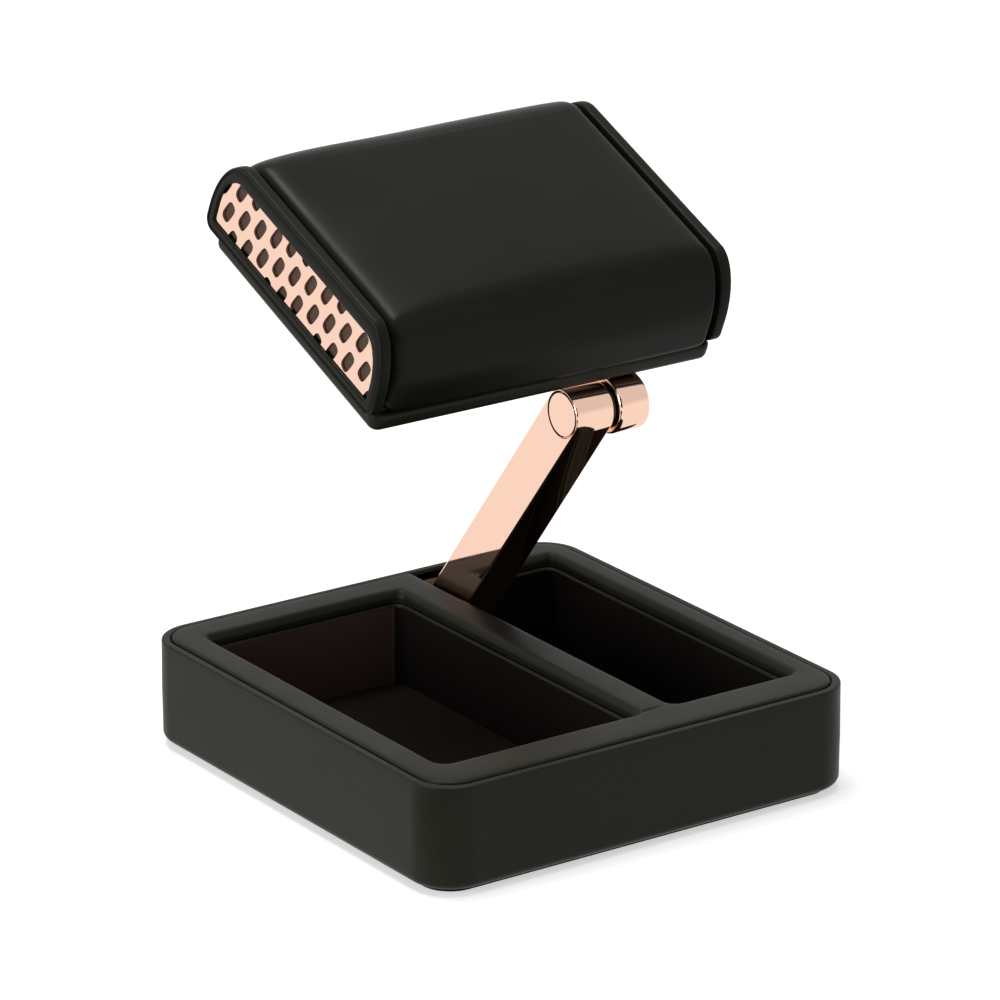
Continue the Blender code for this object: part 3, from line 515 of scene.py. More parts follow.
# %% Ring
def ring_stations(left, right, front, back, radii):
    """Clockwise from the slot's right side to its left: four arcs joined by straight runs."""
    arcs = [arc[::-1] for arc in corners(left, right, front, back, [(r, r) for r in radii], [16] * 4)]
    arcs = arcs[:1] + arcs[:0:-1]
    even = np.linspace(0.0, 1.0, 46)[1:-1]
    ends = (1 - np.cos(np.linspace(0.0, math.pi / 2, 26))) ** 1.3
    stations = [straight(np.array([SLOT[1], back]), arcs[0][0], ends[:-1])]
    for arc, following in zip(arcs, arcs[1:]):
        stations += [arc, straight(arc[-1], following[0], even)]
    stations += [arcs[3], straight(np.array([SLOT[0], back]), arcs[3][-1], ends[:-1])[::-1]]
    return np.concatenate(stations)


def padded(outer, inner, inner_wide, middle):
    """Across from the outer to the inner point of each station, closer together on the rolls."""
    wide = np.linalg.norm(inner - outer, axis=1)[:, None]
    towards = (inner - outer) / wide
    a = np.linspace(0.0, math.pi / 2, 9)
    first, last = OUTER_ROLL * (1 - np.cos(a)), inner_wide * (1 - np.cos(a))
    share = np.linspace(0.0, 1.0, middle)[1:-1]
    ones = np.ones_like(wide)
    across = np.concatenate([ones * first, OUTER_ROLL + share * (wide - OUTER_ROLL - inner_wide), wide - last[::-1]],
                            axis=1)
    plan = outer[:, None] + towards[:, None] * across[..., None]
    return with_underside(plan)


def with_underside(plan):
    """(x, y, height) with one more point straight below each end of the row."""
    top = np.concatenate([plan, top_height(plan[..., 0], plan[..., 1])[..., None]], axis=-1)
    first, last = top[:, :1].copy(), top[:, -1:].copy()
    first[..., 2], last[..., 2] = UNDER, UNDER
    return np.concatenate([first, top, last], axis=1)


outer = ring_stations(-HALF_X + EDGE, HALF_X - EDGE, -HALF_Y + EDGE, HALF_Y - EDGE, (CORNER - EDGE,) * 4)
inner = ring_stations(*INNER, (SHARP_CORNER, SHARP_CORNER, SOFT_CORNER, SHARP_CORNER))
top_frame = surface("padded_top_frame", padded(outer, inner, ROLL, 18), capped=True, smooth=60)
dress(top_frame, "tray", "black_leather", leather, "frame_pad")

# %% [markdown]
# ### The strip between the compartments
# The strip widens in a small sweep where it runs into the ring: at the back on its left side and in
# front on its right. In front on the left, the leather is tucked and leaves a short crease.

# %% Divider strip
near_end = np.array([0.0, 0.12, 0.3, 0.5, 0.75, 1.05, 1.4, 1.8, 2.2, 2.6, 3.0, 3.6, 4.5, 6.0, 8.0]) * MM
y = np.concatenate([INNER[2] + near_end, np.linspace(INNER[2] + 11 * MM, INNER[3] - 11 * MM, 30),
                    INNER[3] - near_end[::-1]])
at_back = np.clip(y - (INNER[3] - SWEEP), 0, SWEEP)
at_front = np.clip(INNER[2] + SWEEP - y, 0, SWEEP)
left_edge = strip_low.x - SWEEP + np.sqrt(SWEEP ** 2 - at_back ** 2)
right_edge = strip_high.x + SWEEP - np.sqrt(SWEEP ** 2 - at_front ** 2)
roll = ROLL * (1 - np.cos(np.linspace(0.0, math.pi / 2, 10)))
share = np.linspace(0.0, 1.0, 12)[1:-1]
wide = (right_edge - left_edge)[:, None]
ones = np.ones_like(wide)
across = np.concatenate([ones * roll, roll[-1] + share * (wide - 2 * roll[-1]), wide - roll[::-1]], axis=1)
plan = np.stack([left_edge[:, None] + across, np.broadcast_to(y[:, None], across.shape)], axis=-1)
strip = surface("divider_strip_leather", with_underside(plan), capped=True, smooth=60)
dress(strip, "tray", "black_leather", leather, "divider_strip")

# %% [markdown]
# ## Liners and floor pads
# Suede-covered card stands inside each compartment a little proud of the frame's inner edge. Its
# top edge is bound in thin leather, and that small step catches the light as a pale ridge below
# the roll. The floor is a loose suede pad with a soft edge. The right-hand pieces are cut away at
# the back, where the arm's foot sits.

# %% Liners
LINER = 1.5 * MM
PASSAGE = (SLOT[0] - 5 * MM, 51 * MM), (31.8 * MM, 70 * MM), 2 * MM, 40 * MM
TOP_ROUND = 0.7 * MM


def cutter_box(name, near, far, low, high, place=flat):
    """A plain box to cut with: the rectangle from near to far, carried up from low to high."""
    rectangle = np.array([near, (far[0], near[1]), far, (near[0], far[1])])
    return surface(name, np.stack([place(rectangle, low), place(rectangle, high)]), capped=True)


def bound_edge(liner, from_height):
    """The faces above that height are the thin leather that binds the card's top edge."""
    liner.data.materials.append(leather)
    centres = np.empty(len(liner.data.polygons) * 3)
    liner.data.polygons.foreach_get("center", centres)
    liner.data.polygons.foreach_set("material_index", (centres[2::3] > from_height).astype(np.int32))


for side in ("left", "right"):
    low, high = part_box(side + "_liner")
    plan = shrinking(low.x, high.x, low.y, high.y, 4.1 * MM)
    section = (
        [(0.0, low.z + 0.3 * MM), (0.0, high.z - TOP_ROUND)]
        + bend((TOP_ROUND, high.z - TOP_ROUND), (-TOP_ROUND, TOP_ROUND), 0, 90, 6)[1:]
        + bend((LINER - TOP_ROUND, high.z - TOP_ROUND), (TOP_ROUND, TOP_ROUND), 90, 0, 6)[1:]
        + [(LINER, low.z + 0.3 * MM), (LINER - 0.3 * MM, low.z), (0.3 * MM, low.z)]
    )
    liner = carried(side + "_suede_liner", plan, section, rows_closed=True)
    pad_low, pad_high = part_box(side + "_floor_pad")
    plan = shrinking(pad_low.x, pad_high.x, pad_low.y, pad_high.y, 2.6 * MM)
    section = [(0.2 * MM, pad_low.z), (0.0, pad_low.z + 0.25 * MM), (0.1 * MM, pad_high.z - 0.15 * MM),
               (0.4 * MM, pad_high.z), (3.0 * MM, pad_high.z + 0.15 * MM)]
    pad = carried(side + "_suede_floor", plan, section, capped=True)
    if side == "right":
        for piece in (liner, pad):
            bored(piece, [cutter_box("passage", *PASSAGE)])
    dress(liner, "tray", "suede", painted_lit_suede if side == "left" else suede, side + "_liner")
    bound_edge(liner, high.z - TOP_ROUND - 0.05 * MM)
    dress(pad, "tray", "suede", lit_floor_suede if side == "left" else suede, side + "_floor_pad")

# %% [markdown]
# ## The arm
# The arm is a flat steel bar with a full round at each end, polished to a mirror. A mirror shows
# every fault of a mesh, so the flat sides end in a ring of points just inside the edge, and the
# edge itself is a true round of 0.6 mm. The pin's room and both bores are cut afterwards.

# %% Arm bar
arm_low, arm_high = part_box("arm_bar")
EYE = (arm_high.z - arm_low.z - ARM_LENGTH * math.cos(LEAN)) / 2
print("eye radius %.2f mm" % (EYE / MM))


def arm_plan(inset):
    """Two half circles of the arm's half width, one at each pivot, with straight sides."""
    radius = EYE - inset
    top = np.array([0.0, ARM_LENGTH])
    half = np.linspace(0.0, math.pi, 49)
    circle = radius * np.stack([np.cos(half), np.sin(half)], axis=1)
    upper, lower = circle + top, -circle
    return np.concatenate([upper, straight(upper[-1], lower[0]), lower, straight(lower[-1], upper[0])])


def edge_section(low, high, round_edge, flat_ring=1.0 * MM):
    """From one flat side to the other: a support ring, a rounded edge, the side, and back."""
    return (
        [(round_edge + flat_ring, low), (round_edge + 0.05 * MM, low)]
        + bend((round_edge, low + round_edge), (-round_edge, -round_edge), 90, 0, 6)
        + bend((round_edge, high - round_edge), (-round_edge, round_edge), 0, 90, 6)
        + [(round_edge + 0.05 * MM, high), (round_edge + flat_ring, high)]
    )


def at_pivot(plan, x):
    return on_arm(plan + np.array([0.0, ARM_LENGTH]), x)


def rod(name, radius, low, high, place):
    return turned(name, [(radius, low), (radius, high)], place)


arm = carried("rose_gold_arm", arm_plan, edge_section(arm_low.x, arm_high.x, 0.6 * MM), on_arm, capped=True,
              smooth=40)
bored(arm, [
    rod("foot_bore", 3.0 * MM, arm_low.x - MM, arm_high.x + MM, on_arm),
    rod("top_bore", 3.0 * MM, arm_low.x - MM, arm_high.x + MM, at_pivot),
    rod("head_room", 6.3 * MM, arm_low.x - MM, arm_low.x + 1.7 * MM, at_pivot),
], smooth=40)
dress(arm, "arm", "rose_gold", rose_gold, "arm_bar")

# %% [markdown]
# ## Pin, washer and screw
# The pin's flat head lies flush in the bar's left side and shows as a disc with a fine dark ring.
# A blackened washer keeps the bar and the knuckle apart, and the photograph shows it as a dark
# groove. A slotted screw closes the pin from the right. All are turned parts, so each is a profile
# turned about the pivot.

# %% Turned parts of the pivot
pin_low, pin_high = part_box("pivot_pin")
DISC, DISC_ROUND, DISC_THICK, SHANK = 5.7 * MM, 0.1 * MM, 1.4 * MM, 2.7 * MM
profile = (
    [(4.8 * MM, pin_low.x), (5.55 * MM, pin_low.x)]
    + [(DISC - DISC_ROUND * (1 - math.sin(a)), pin_low.x + DISC_ROUND * (1 - math.cos(a)))
       for a in np.linspace(0.3, 1.57, 4)]
    + [(DISC, pin_low.x + DISC_THICK), (SHANK, pin_low.x + DISC_THICK), (SHANK, pin_high.x)]
)
pin = turned("pivot_pin_rose_gold", profile, at_pivot)
low, high = (corner.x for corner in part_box("pivot_washer"))
profile = [(3.0 * MM, low), (5.8 * MM, low), (6.0 * MM, low + 0.2 * MM), (6.0 * MM, high - 0.2 * MM),
           (5.8 * MM, high), (3.0 * MM, high)]
washer = turned("pivot_washer_steel", profile, at_pivot, ring=True)
left, right = (corner.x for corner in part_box("pivot_screw"))
profile = [(1.4 * MM, left), (1.4 * MM, right - 1.4 * MM), (5.5 * MM, right - 1.4 * MM),
           (5.5 * MM, right - 0.3 * MM), (5.2 * MM, right), (4.2 * MM, right)]
screw = turned("pivot_screw_rose_gold", profile, at_pivot)
bored(screw, [cutter_box("screw_slot", (-7 * MM, -0.5 * MM), (7 * MM, 0.5 * MM), right - 0.8 * MM, right + MM,
                         at_pivot)])
dress(pin, "arm", "rose_gold", rose_gold, "pivot_pin")
dress(washer, "arm", "rose_gold", blackened, "pivot_washer")
dress(screw, "arm", "rose_gold", rose_gold, "pivot_screw")

# %% [markdown]
# ## Knuckle and hinge bar
# The knuckle turns on the pin and runs into a flat bar under the cushion's board. Its outline is
# most of a circle that meets a straight bar, with the same kind of rounded edge as the arm.

# %% Hinge bar
hinge_low, hinge_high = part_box("hinge_bar")
KNUCKLE = 7.6 * MM
BAR_LOW = 3.0 * MM
BAR_END = 58.0 * MM
SCREW_PLACES = 20 * MM, 46 * MM


def hinge_plan(inset):
    """A circle from its top round to where it meets the bar's lower face, then the bar."""
    radius = KNUCKLE - inset
    lower, end = BAR_LOW + inset, BAR_END - inset
    a = np.linspace(math.pi / 2, 2 * math.pi + math.asin(lower / radius), 97)
    circle = radius * np.stack([np.cos(a), np.sin(a)], axis=1)
    corner = quarter((end - 1.2 * MM, lower + 1.2 * MM), (1.2 * MM, 1.2 * MM), 270, 6)
    return np.concatenate([circle, straight(circle[-1], corner[0]), corner,
                           np.array([[end, radius]]), straight(np.array([end, radius]), circle[0])])


hinge = carried("rose_gold_hinge_bar", hinge_plan, edge_section(hinge_low.x, hinge_high.x, 0.9 * MM, 0.5 * MM),
                on_head, capped=True, smooth=40)
middle_x = (hinge_low.x + hinge_high.x) / 2


def upright(u):
    """Stands a turned part along w at one place of the hinge bar: (x, u) in its plane, w up."""
    def place(plan, w):
        spot = np.stack([u + plan[..., 1], np.broadcast_to(w, plan.shape[:-1])], axis=-1)
        return on_head(spot, middle_x + plan[..., 0])
    return place


cutters = [rod("knuckle_bore", 3.0 * MM, hinge_low.x - MM, hinge_high.x + MM, on_head),
           rod("screw_room", 5.8 * MM, hinge_high.x - 1.7 * MM, hinge_high.x + MM, on_head)]
cutters += [rod("hinge_hole", 1.7 * MM, 0.0, 12 * MM, upright(u)) for u in SCREW_PLACES]
bored(hinge, cutters, smooth=40)
dress(hinge, "head", "rose_gold", rose_gold, "hinge_bar")

# %% Hinge screws
for number, u in enumerate(SCREW_PLACES, start=1):
    place = upright(u)
    dome = [(2.6 * MM * math.cos(a), 1.9 * MM - 0.5 * MM * math.sin(a)) for a in np.linspace(0.0, 1.25, 7)]
    profile = [(1.4 * MM, 11.2 * MM), (1.4 * MM, 2.7 * MM), (2.6 * MM, 2.7 * MM)] + dome
    head = turned("hinge_screw_%d_steel" % number, profile, place, 48)
    bored(head, [cutter_box("slot", (-x, -y), (x, y), 0.0, 1.9 * MM, place)
                 for x, y in ((4 * MM, 0.3 * MM), (0.3 * MM, 1.6 * MM))])
    dress(head, "head", "dark_steel", blackened, "hinge_screw_%d" % number)

# %% [markdown]
# ## The cushion's board
# A stiff board in leather closes the cushion below. The leather rolls round its lower edge over a
# little padding and meets the cushion in a dark seam.

# %% Board
CAP_BOTTOM = 13.7 * MM
BOARD_LOW, BOARD_TOP = 8.0 * MM, 13.4 * MM
BOARD_ROLL, BOARD_ROUND = 2.4 * MM, 1.2 * MM
board_plan = shrinking(-42.3 * MM, 62.4 * MM, -0.3 * MM, 78.9 * MM, 3.0 * MM, 0.4 * MM, 16)


def lying(plan, w):
    """(x, u) of a plan outline at height w of the head's frame."""
    return on_head(np.stack([plan[..., 1], np.broadcast_to(w, plan.shape[:-1])], axis=-1), plan[..., 0])


section = (
    [(9.0 * MM, BOARD_LOW), (BOARD_ROLL + 0.2 * MM, BOARD_LOW)]
    + bend((BOARD_ROLL, BOARD_LOW + BOARD_ROLL), (-BOARD_ROLL, -BOARD_ROLL), 87, 0, 12)
    + [(0.0, BOARD_TOP - 1.4 * MM)]
    + bend((BOARD_ROUND, BOARD_TOP - BOARD_ROUND), (-BOARD_ROUND, BOARD_ROUND), 0, 90, 6)[1:]
    + [(2.4 * MM, BOARD_TOP)]
)
board = carried("cushion_board_leather", board_plan, section, lying, capped=True, smooth=50)
recess = carried("recess", lambda inset: board_plan(2.4 * MM), [(0.0, BOARD_LOW + WRAP), (0.0, BOARD_TOP + MM)],
                 lying, capped=True)
holes = [rod("board_hole", 1.7 * MM, 7 * MM, 9.5 * MM, upright(u)) for u in SCREW_PLACES]
bored(board, [recess] + holes, smooth=50)
dress(board, "head", "black_leather", leather, "board_wrap")

# %% [markdown]
# ## The end frames
# Two leather-wrapped frames close the cushion's ends. Their outline is a loaf: flat below, with a
# quarter ellipse over each upper corner. The wrapped edge stands up as a thin ridge with a crease
# beside it, and the rim falls a little towards the window, where the leather is turned in.

# %% Loaf outline
FRONT, DEPTH, TALL = -0.75 * MM, 82.3 * MM, 25.2 * MM
FRONT_ROUND, BACK_ROUND, FOOT_CURVE = (9.6 * MM, 17.9 * MM), (12.5 * MM, 19.5 * MM), 3.2 * MM


def loaf(front, back, bottom, top, front_round, back_round, foot):
    """Quarter ellipses over the upper corners and quarter circles at the lower ones."""
    radii = back_round, front_round, (foot, foot), (foot, foot)
    return joined(corners(front, back, bottom, top, radii, (24, 24, 8, 8)))


def window(inset):
    """The opening: the rim round it is 4.1 mm wide in front, 2.9 at the back, 5.6 above, 3.1 below."""
    return loaf(FRONT + 4.1 * MM + inset, FRONT + DEPTH - 2.9 * MM - inset,
                CAP_BOTTOM + 3.1 * MM + inset, CAP_BOTTOM + TALL - 5.6 * MM - inset,
                (6.4 * MM - inset, 12.0 * MM - inset), (7.6 * MM - inset, 12.0 * MM - inset), 0.7 * MM)


def rim_plan(share):
    """Between the whole outline, share 0, and the opening, share 1."""
    whole = loaf(FRONT, FRONT + DEPTH, CAP_BOTTOM, CAP_BOTTOM + TALL, FRONT_ROUND, BACK_ROUND, FOOT_CURVE)
    return (1 - share) * whole + share * window(0.0)


# %% End frames
# Share of the way from the outline to the opening, and how many mm it lies behind the outer face.
RIM_SECTION = (
    [(1.0, 3.2), (1.0, 0.95), (0.99, 0.6), (0.96, 0.35), (0.91, 0.22), (0.84, 0.15)]  # Turned in at the window.
    + [(0.6, 0.14), (0.42, 0.2), (0.3, 0.4), (0.25, 0.52), (0.2, 0.42), (0.16, 0.18)]  # The crease.
    + [(0.12, 0.05), (0.09, 0.02), (0.06, 0.04), (0.035, 0.12), (0.015, 0.25), (0.0, 0.45)]  # The ridge.
    + [(-0.01, 1.0), (-0.01, 2.3), (0.0, 2.7), (0.03, 3.0), (0.1, 3.2)]  # The outer edge and the back.
)
for side, inward in (("left", 1), ("right", -1)):
    low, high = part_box(side + "_cap_frame")
    out = low.x if inward > 0 else high.x
    depth = [(share, out + inward * d * MM) for share, d in RIM_SECTION]
    rim = carried(side + "_end_frame_leather", rim_plan, depth, on_head, rows_closed=True, smooth=50)
    dress(rim, "head", "black_leather", edge_leather, side + "_cap_frame")

# %% [markdown]
# ## Perforated sheets
# A polished sheet sits in each window, punched all over with leaf-shaped holes on a slanting
# lattice. One leaf is a superellipse, the curve |p / a|^n + |q / b|^n = 1 with n = 3.2, turned by
# 22 degrees. The window's edge cuts some leaves off, as the photograph shows. A boolean does the
# punching, because a lattice of holes has no simple grid.

# %% Leaf holes
LEAF = (1.75 * MM, 3.4 * MM)
LEAF_POWER = 3.2
LEAF_LEAN = math.radians(22.0)
ALONG = 7.42 * MM * np.array([math.cos(math.radians(-19.4)), math.sin(math.radians(-19.4))])
ACROSS = 7.40 * MM * np.array([math.cos(math.radians(60.5)), math.sin(math.radians(60.5))])
FIRST = np.array([49.35 * MM, 23.8 * MM])


def leaf():
    """p = a sign(cos t) |cos t|^(2/n), q = b sign(sin t) |sin t|^(2/n), then turned."""
    t = np.linspace(0.0, 2 * math.pi, 24, endpoint=False)
    p = LEAF[0] * np.sign(np.cos(t)) * np.abs(np.cos(t)) ** (2 / LEAF_POWER)
    q = LEAF[1] * np.sign(np.sin(t)) * np.abs(np.sin(t)) ** (2 / LEAF_POWER)
    c, s = math.cos(LEAF_LEAN), math.sin(LEAF_LEAN)
    return np.stack([p * c - q * s, p * s + q * c], axis=1)


def lattice():
    """All first + m along + n across whose middle lies within the opening's box, or just outside."""
    m, n = np.meshgrid(np.arange(-16, 17), np.arange(-16, 17), indexing="ij")
    middles = FIRST + m.reshape(-1, 1) * ALONG + n.reshape(-1, 1) * ACROSS
    edge = window(0.0)
    beyond = np.array([1.5, 2.4]) * MM
    low, high = edge.min(axis=0) - beyond, edge.max(axis=0) + beyond
    return middles[np.all((middles > low) & (middles < high), axis=1)]


def punches(name, middles, low, high):
    """One prism per leaf, all in one mesh: leaf outline + middle, at two depths."""
    ring = leaf()
    count, sides = len(middles), len(ring)
    flat_points = middles[:, None] + ring[None]
    points = np.stack([on_head(flat_points, low), on_head(flat_points, high)], axis=1)
    start = (np.arange(count) * 2 * sides)[:, None]
    k = np.arange(sides)
    following = (k + 1) % sides
    walls = np.stack([start + k, start + following, start + sides + following, start + sides + k], axis=-1)
    bottoms = start + k[::-1]
    tops = start + sides + k
    mesh = bpy.data.meshes.new(name)
    mesh.from_pydata(points.reshape(-1, 3), [], walls.reshape(-1, 4).tolist() + bottoms.tolist() + tops.tolist())
    face_outwards(mesh)
    return placed(name, mesh)


for side in ("left", "right"):
    low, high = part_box(side + "_inlay")
    plate = carried(side + "_perforated_sheet", window, [(0.15 * MM, low.x), (0.15 * MM, high.x)], on_head,
                    capped=True)
    middles = lattice()
    bored(plate, [punches("leaves", middles, low.x - MM, high.x + MM)], smooth=25)
    print("%s sheet: %d leaves" % (side, len(middles)))
    dress(plate, "head", "rose_gold", sheet_gold, side + "_inlay")

# %% [markdown]
# ## The cushion
# The watch rests on a foam block in one piece of thin leather. The block is drawn first: loaf
# outlines from end to end, fuller in the middle and drawn in where the leather dives behind the
# end frames. Then cloth swells it from inside, held at its ends and along its base, which gives a
# filled cover its even, taut skin.

# %% Cushion block
SOFT = (-41.0 * MM, 60.1 * MM)
DIVE = 0.5 * MM
FULL = 1.5 * MM
SHOULDER, SHOULDER_REACH = 3.6 * MM, 0.9 * MM
CROWN, CROWN_REACH = (2.0 * MM, 0.5 * MM), 9 * MM
ROUNDED, CORNER_LONG, CORNER_DEEP = 2.1 * MM, 36 * MM, 8 * MM


def cushion_inset(away, crown):
    """Inset of the loaf at a distance d from the nearer end, counted beyond the dive behind the end
    frame: shoulder exp(-d / its reach) + crown exp(-d / its reach), less how full it is. The crown
    is deeper on the left, so the skin slopes more there."""
    d = np.maximum(away - DIVE, 0.0)
    return -FULL + SHOULDER * np.exp(-d / SHOULDER_REACH) + crown * np.exp(-d / CROWN_REACH)


def cushion_plan(inset):
    """The loaf, drawn in by the inset. Where the inset is negative the cushion rises above the end
    frames, but hardly stands out in front of them."""
    return loaf(FRONT + max(inset, -0.3 * MM), FRONT + DEPTH - inset, CAP_BOTTOM + inset,
                CAP_BOTTOM + TALL - inset, [size - inset for size in FRONT_ROUND],
                [size - inset for size in BACK_ROUND], 3.0 * MM)


def fuller(outline, away):
    """Moves points near the upper front corner inwards: the padding rounds it off more than the end
    frames do. With h = how far a point is round the corner, from 0 to 1, and near = 1 on the skin and
    0 from 8 mm inside it, the move is 2.1 near sin(pi h)^2 mm, and it fades towards the ends."""
    u, w = outline[:, 0] - FRONT, CAP_BOTTOM + TALL - outline[:, 1]
    h = np.clip((u - w) / CORNER_LONG + 0.5, 0.0, 1.0)
    near = np.clip(1 - np.minimum(u, w) / CORNER_DEEP, 0.0, 1.0)
    pull = ROUNDED * (np.sin(math.pi * h) ** 2 * near) * (1 - np.exp(-away / CORNER_DEEP))
    return outline + pull[:, None] * np.array([0.6, -0.8])


def cushion_ring(inset, away, base, x):
    """One ring of the block at x, with no point below the base."""
    outline = fuller(cushion_plan(inset), away)
    outline[:, 1] = np.maximum(outline[:, 1], base)
    return on_head(outline, x)


near_end = DIVE + 2.8 * MM * (1 - np.cos(np.linspace(0.0, math.pi / 2, 9)))
near_end = np.concatenate([[0.0], near_end, np.array([3.9, 4.8, 6.1, 7.8, 9.8]) * MM])
middle = np.linspace(SOFT[0] + 12 * MM, SOFT[1] - 12 * MM, 30)
x = np.concatenate([SOFT[0] + near_end, middle, SOFT[1] - near_end[::-1]])
away = np.minimum(x - SOFT[0], SOFT[1] - x)
inset = cushion_inset(away, np.where(x < 0, *CROWN))
base = CAP_BOTTOM + rolled(away, 3.0 * MM, 1.2 * MM)
grid = np.stack([cushion_ring(*ring) for ring in zip(inset, away, base, x)])
cushion = surface("leather_cushion", grid, capped=True, smooth=80)
print("cushion: %d rings, inset %.2f mm in the middle" % (len(x), inset.min() / MM))


# %% Swelling the cover
FRAMES, ROUNDS = 20, 16


def swollen(piece, held, rows, pressure, most):
    """Cloth with inner pressure for 20 frames. How far the points moved is averaged with their
    neighbours 16 times, step = (before + 2 step + after) / 4, as foam bridges a small pucker,
    and then scaled so that none has moved further than `most` metres."""
    group = piece.vertex_groups.new(name="held")
    group.add(np.flatnonzero(held).tolist(), 1.0, "REPLACE")
    cloth = piece.modifiers.new("padding", "CLOTH")
    cloth.settings.vertex_group_mass = group.name
    cloth.settings.use_pressure = True
    cloth.settings.uniform_pressure_force = pressure
    cloth.settings.effector_weights.gravity = 0.0
    cloth.point_cache.frame_start, cloth.point_cache.frame_end = 1, FRAMES
    scene = bpy.context.scene
    for number in range(1, FRAMES + 1):
        scene.frame_set(number)
    points = np.empty(len(piece.data.vertices) * 3)
    piece.data.vertices.foreach_get("co", points)
    shape = piece.evaluated_get(bpy.context.evaluated_depsgraph_get())
    moved = np.empty_like(points)
    shape.data.vertices.foreach_get("co", moved)
    points, moved = points.reshape(-1, 3), moved.reshape(-1, 3)
    step = (moved - points).reshape(rows, -1, 3)
    for number in range(ROUNDS):
        step[1:-1] = (step[:-2] + 2 * step[1:-1] + step[2:]) / 4
        step = (np.roll(step, 1, axis=1) + 2 * step + np.roll(step, -1, axis=1)) / 4
    step = step.reshape(-1, 3)
    far = np.linalg.norm(step, axis=1, keepdims=True)
    step *= min(1.0, most / far.max())
    piece.modifiers.clear()
    piece.vertex_groups.clear()
    piece.data.vertices.foreach_set("co", (points + step).ravel())
    scene.frame_set(1)
    print("cloth moved %.2f mm on average, %.2f mm at most" % (far.mean() / MM, far.max() / MM))


rows, columns = grid.shape[:2]
row = np.repeat(np.arange(rows), columns)
height = (grid.reshape(-1, 3) - PIVOT) @ np.array([0.0, -math.sin(TILT), math.cos(TILT)])
held = (row < 5) | (row > rows - 6) | (height < CAP_BOTTOM + 1.2 * MM)
swollen(cushion, held, rows, 4.0, 0.5 * MM)
smooth = cushion.modifiers.new("smooth", "SUBSURF")
smooth.levels = smooth.render_levels = 1
settled(cushion)
cushion.data.shade_smooth()
dress(cushion, "head", "padded_leather", padded_leather, "cushion")

# %% [markdown]
# ## Floor, light and camera
# The stand is on a white sweep. The floor is white paint that takes the stand's soft shadow; a
# little light of its own, seen only by the camera and in reflections, lifts it to the white of
# the photograph without lighting the leather, and in the metal it is one even white. The white
# surroundings are a little darker above the horizon, as a ceiling is, and light the leather only
# weakly. A long soft box hangs above the stand from front to back: the cushion's left end, which
# slopes a few degrees, turns its reflection into the bright band there. A second one lights the
# tray's left side. A black flag stands behind the camera and a small one lies before the tray's
# near corner: the rounded metal edges show them as dark lines. A dark card right of the tray is
# painted shadow: it stands for the stand's shadow on the floor there, seen only in reflections,
# and the arm's front face, which leans forward, shows it.

# %% Floor and world
def staged_card(name, finish, *points):
    """A card with these four corners, which is no part of the stand."""
    mesh = bpy.data.meshes.new(name)
    mesh.from_pydata(points, [], [(0, 1, 2, 3)])
    mesh.materials.append(finish)
    made = placed(name, mesh)
    return made


paint = bpy.data.materials.new("white_sweep")
paint.use_nodes = True
tree = paint.node_tree
tree.nodes.clear()
path = add(tree, "ShaderNodeLightPath")
glow = add(tree, "ShaderNodeMath", {0: path.outputs["Is Camera Ray"], 1: 0.55}, operation="MULTIPLY")
matte = add(tree, "ShaderNodeBsdfDiffuse", {"Color": colour("#d8d8d8")})
lit = add(tree, "ShaderNodeEmission", {"Color": (1, 1, 1, 1), "Strength": glow.outputs["Value"]})
seen = add(tree, "ShaderNodeAddShader", {0: matte.outputs["BSDF"], 1: lit.outputs["Emission"]})
mirrored = add(tree, "ShaderNodeEmission", {"Color": (1, 1, 1, 1), "Strength": 1.0})
in_metal = add(tree, "ShaderNodeMath", {0: path.outputs["Is Glossy Ray"], 1: path.outputs["Is Transmission Ray"]},
               operation="MAXIMUM")
both = add(tree, "ShaderNodeMixShader", {0: in_metal.outputs["Value"], 1: seen.outputs["Shader"],
                                         2: mirrored.outputs["Emission"]})
add(tree, "ShaderNodeOutputMaterial", {"Surface": both.outputs["Shader"]})
staged_card("floor", paint, (-6, -6, 0), (6, -6, 0), (6, 6, 0), (-6, 6, 0))

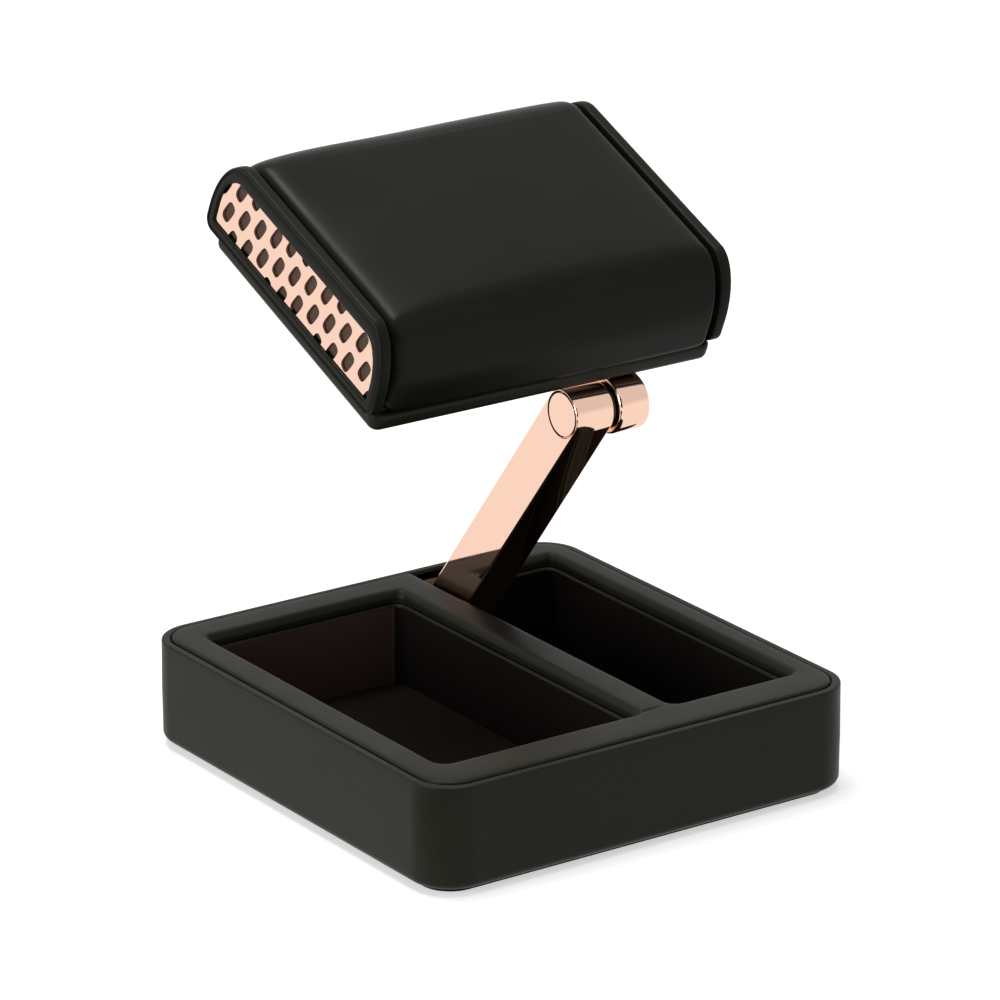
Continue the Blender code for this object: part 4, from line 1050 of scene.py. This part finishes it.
world = bpy.data.worlds.new("studio")
bpy.context.scene.world = world
world.use_nodes = True
tree = world.node_tree
tree.nodes.clear()
path = add(tree, "ShaderNodeLightPath")
way = add(tree, "ShaderNodeSeparateXYZ", {"Vector": add(tree, "ShaderNodeTexCoord").outputs["Generated"]})
sky = add(tree, "ShaderNodeMapRange", {"Value": way.outputs["Z"], "From Max": 0.25,
                                       "To Min": 1.0, "To Max": 0.78})
in_metal = add(tree, "ShaderNodeMapRange", {"Value": path.outputs["Is Glossy Ray"], "To Min": 0.3,
                                            "To Max": sky.outputs["Result"]})
strength = add(tree, "ShaderNodeMath", {0: in_metal.outputs["Result"], 1: path.outputs["Is Camera Ray"]},
               operation="MAXIMUM")
back = add(tree, "ShaderNodeBackground", {"Color": (1, 1, 1, 1), "Strength": strength.outputs["Value"]})
add(tree, "ShaderNodeOutputWorld", {"Surface": back.outputs["Background"]})


# %% Lamps
def soft_box(name, place, target, wide, tall, radiance):
    """An area lamp of that radiance: power = radiance * pi * area."""
    lamp = bpy.data.lights.new(name, "AREA")
    lamp.shape = "RECTANGLE"
    lamp.size, lamp.size_y = wide, tall
    lamp.energy = radiance * math.pi * wide * tall
    made = placed(name, lamp)
    made.location = place
    away = np.array(place) - np.array(target)
    pitch = math.atan2(math.hypot(away[0], away[1]), away[2])
    made.rotation_euler = (pitch, 0.0, math.atan2(away[1], away[0]) + math.pi / 2)


soft_box("key", (-0.06, 0.14, 1.15), (0.0, 0.0, 0.1), 0.40, 0.80, 10.0)
soft_box("side", (-1.5, -0.15, 0.42), (0.0, 0.0, 0.05), 0.9, 0.7, 5.0)


# %% Black flags
LYING = 0.001
velvet = new_finish("black_velvet", Base_Color=colour("#1e130f"), Roughness=1.0, Specular_IOR_Level=0.0)[0]
flags = [staged_card("flag_behind_camera", velvet, (-2.42, -1.20, 0.0), (-0.28, -2.68, 0.0), (-0.28, -2.68, 1.9),
                     (-2.42, -1.20, 1.9))]
# The card beside the tray is painted shadow: a dark sheet for the stand's shadow on the floor, seen only in
# reflections.
for name, left, right, front, back in (("flag_before_tray", -0.30, -0.11, -0.26, -0.03),
                                       ("painted_shadow_card_beside_tray", 0.0665, 0.10, 0.0, 0.06)):
    flags.append(staged_card(name, velvet, (left, front, LYING), (right, front, LYING),
                             (right, back, LYING), (left, back, LYING)))
for flag in flags:
    # Only polished and glossy surfaces show them.
    flag.visible_camera = flag.visible_diffuse = flag.visible_shadow = False

# %% Camera
camera_data = bpy.data.cameras.new("camera")
camera_data.sensor_width = 36.0
camera_data.lens = 219.6
camera = placed("camera", camera_data)
camera.location = (-0.8372, -1.2010, 0.5935)
camera.rotation_euler = (math.radians(70.4), 0.0, math.radians(-34.9))
bpy.context.scene.camera = camera
bpy.context.scene.view_settings.view_transform = "Standard"
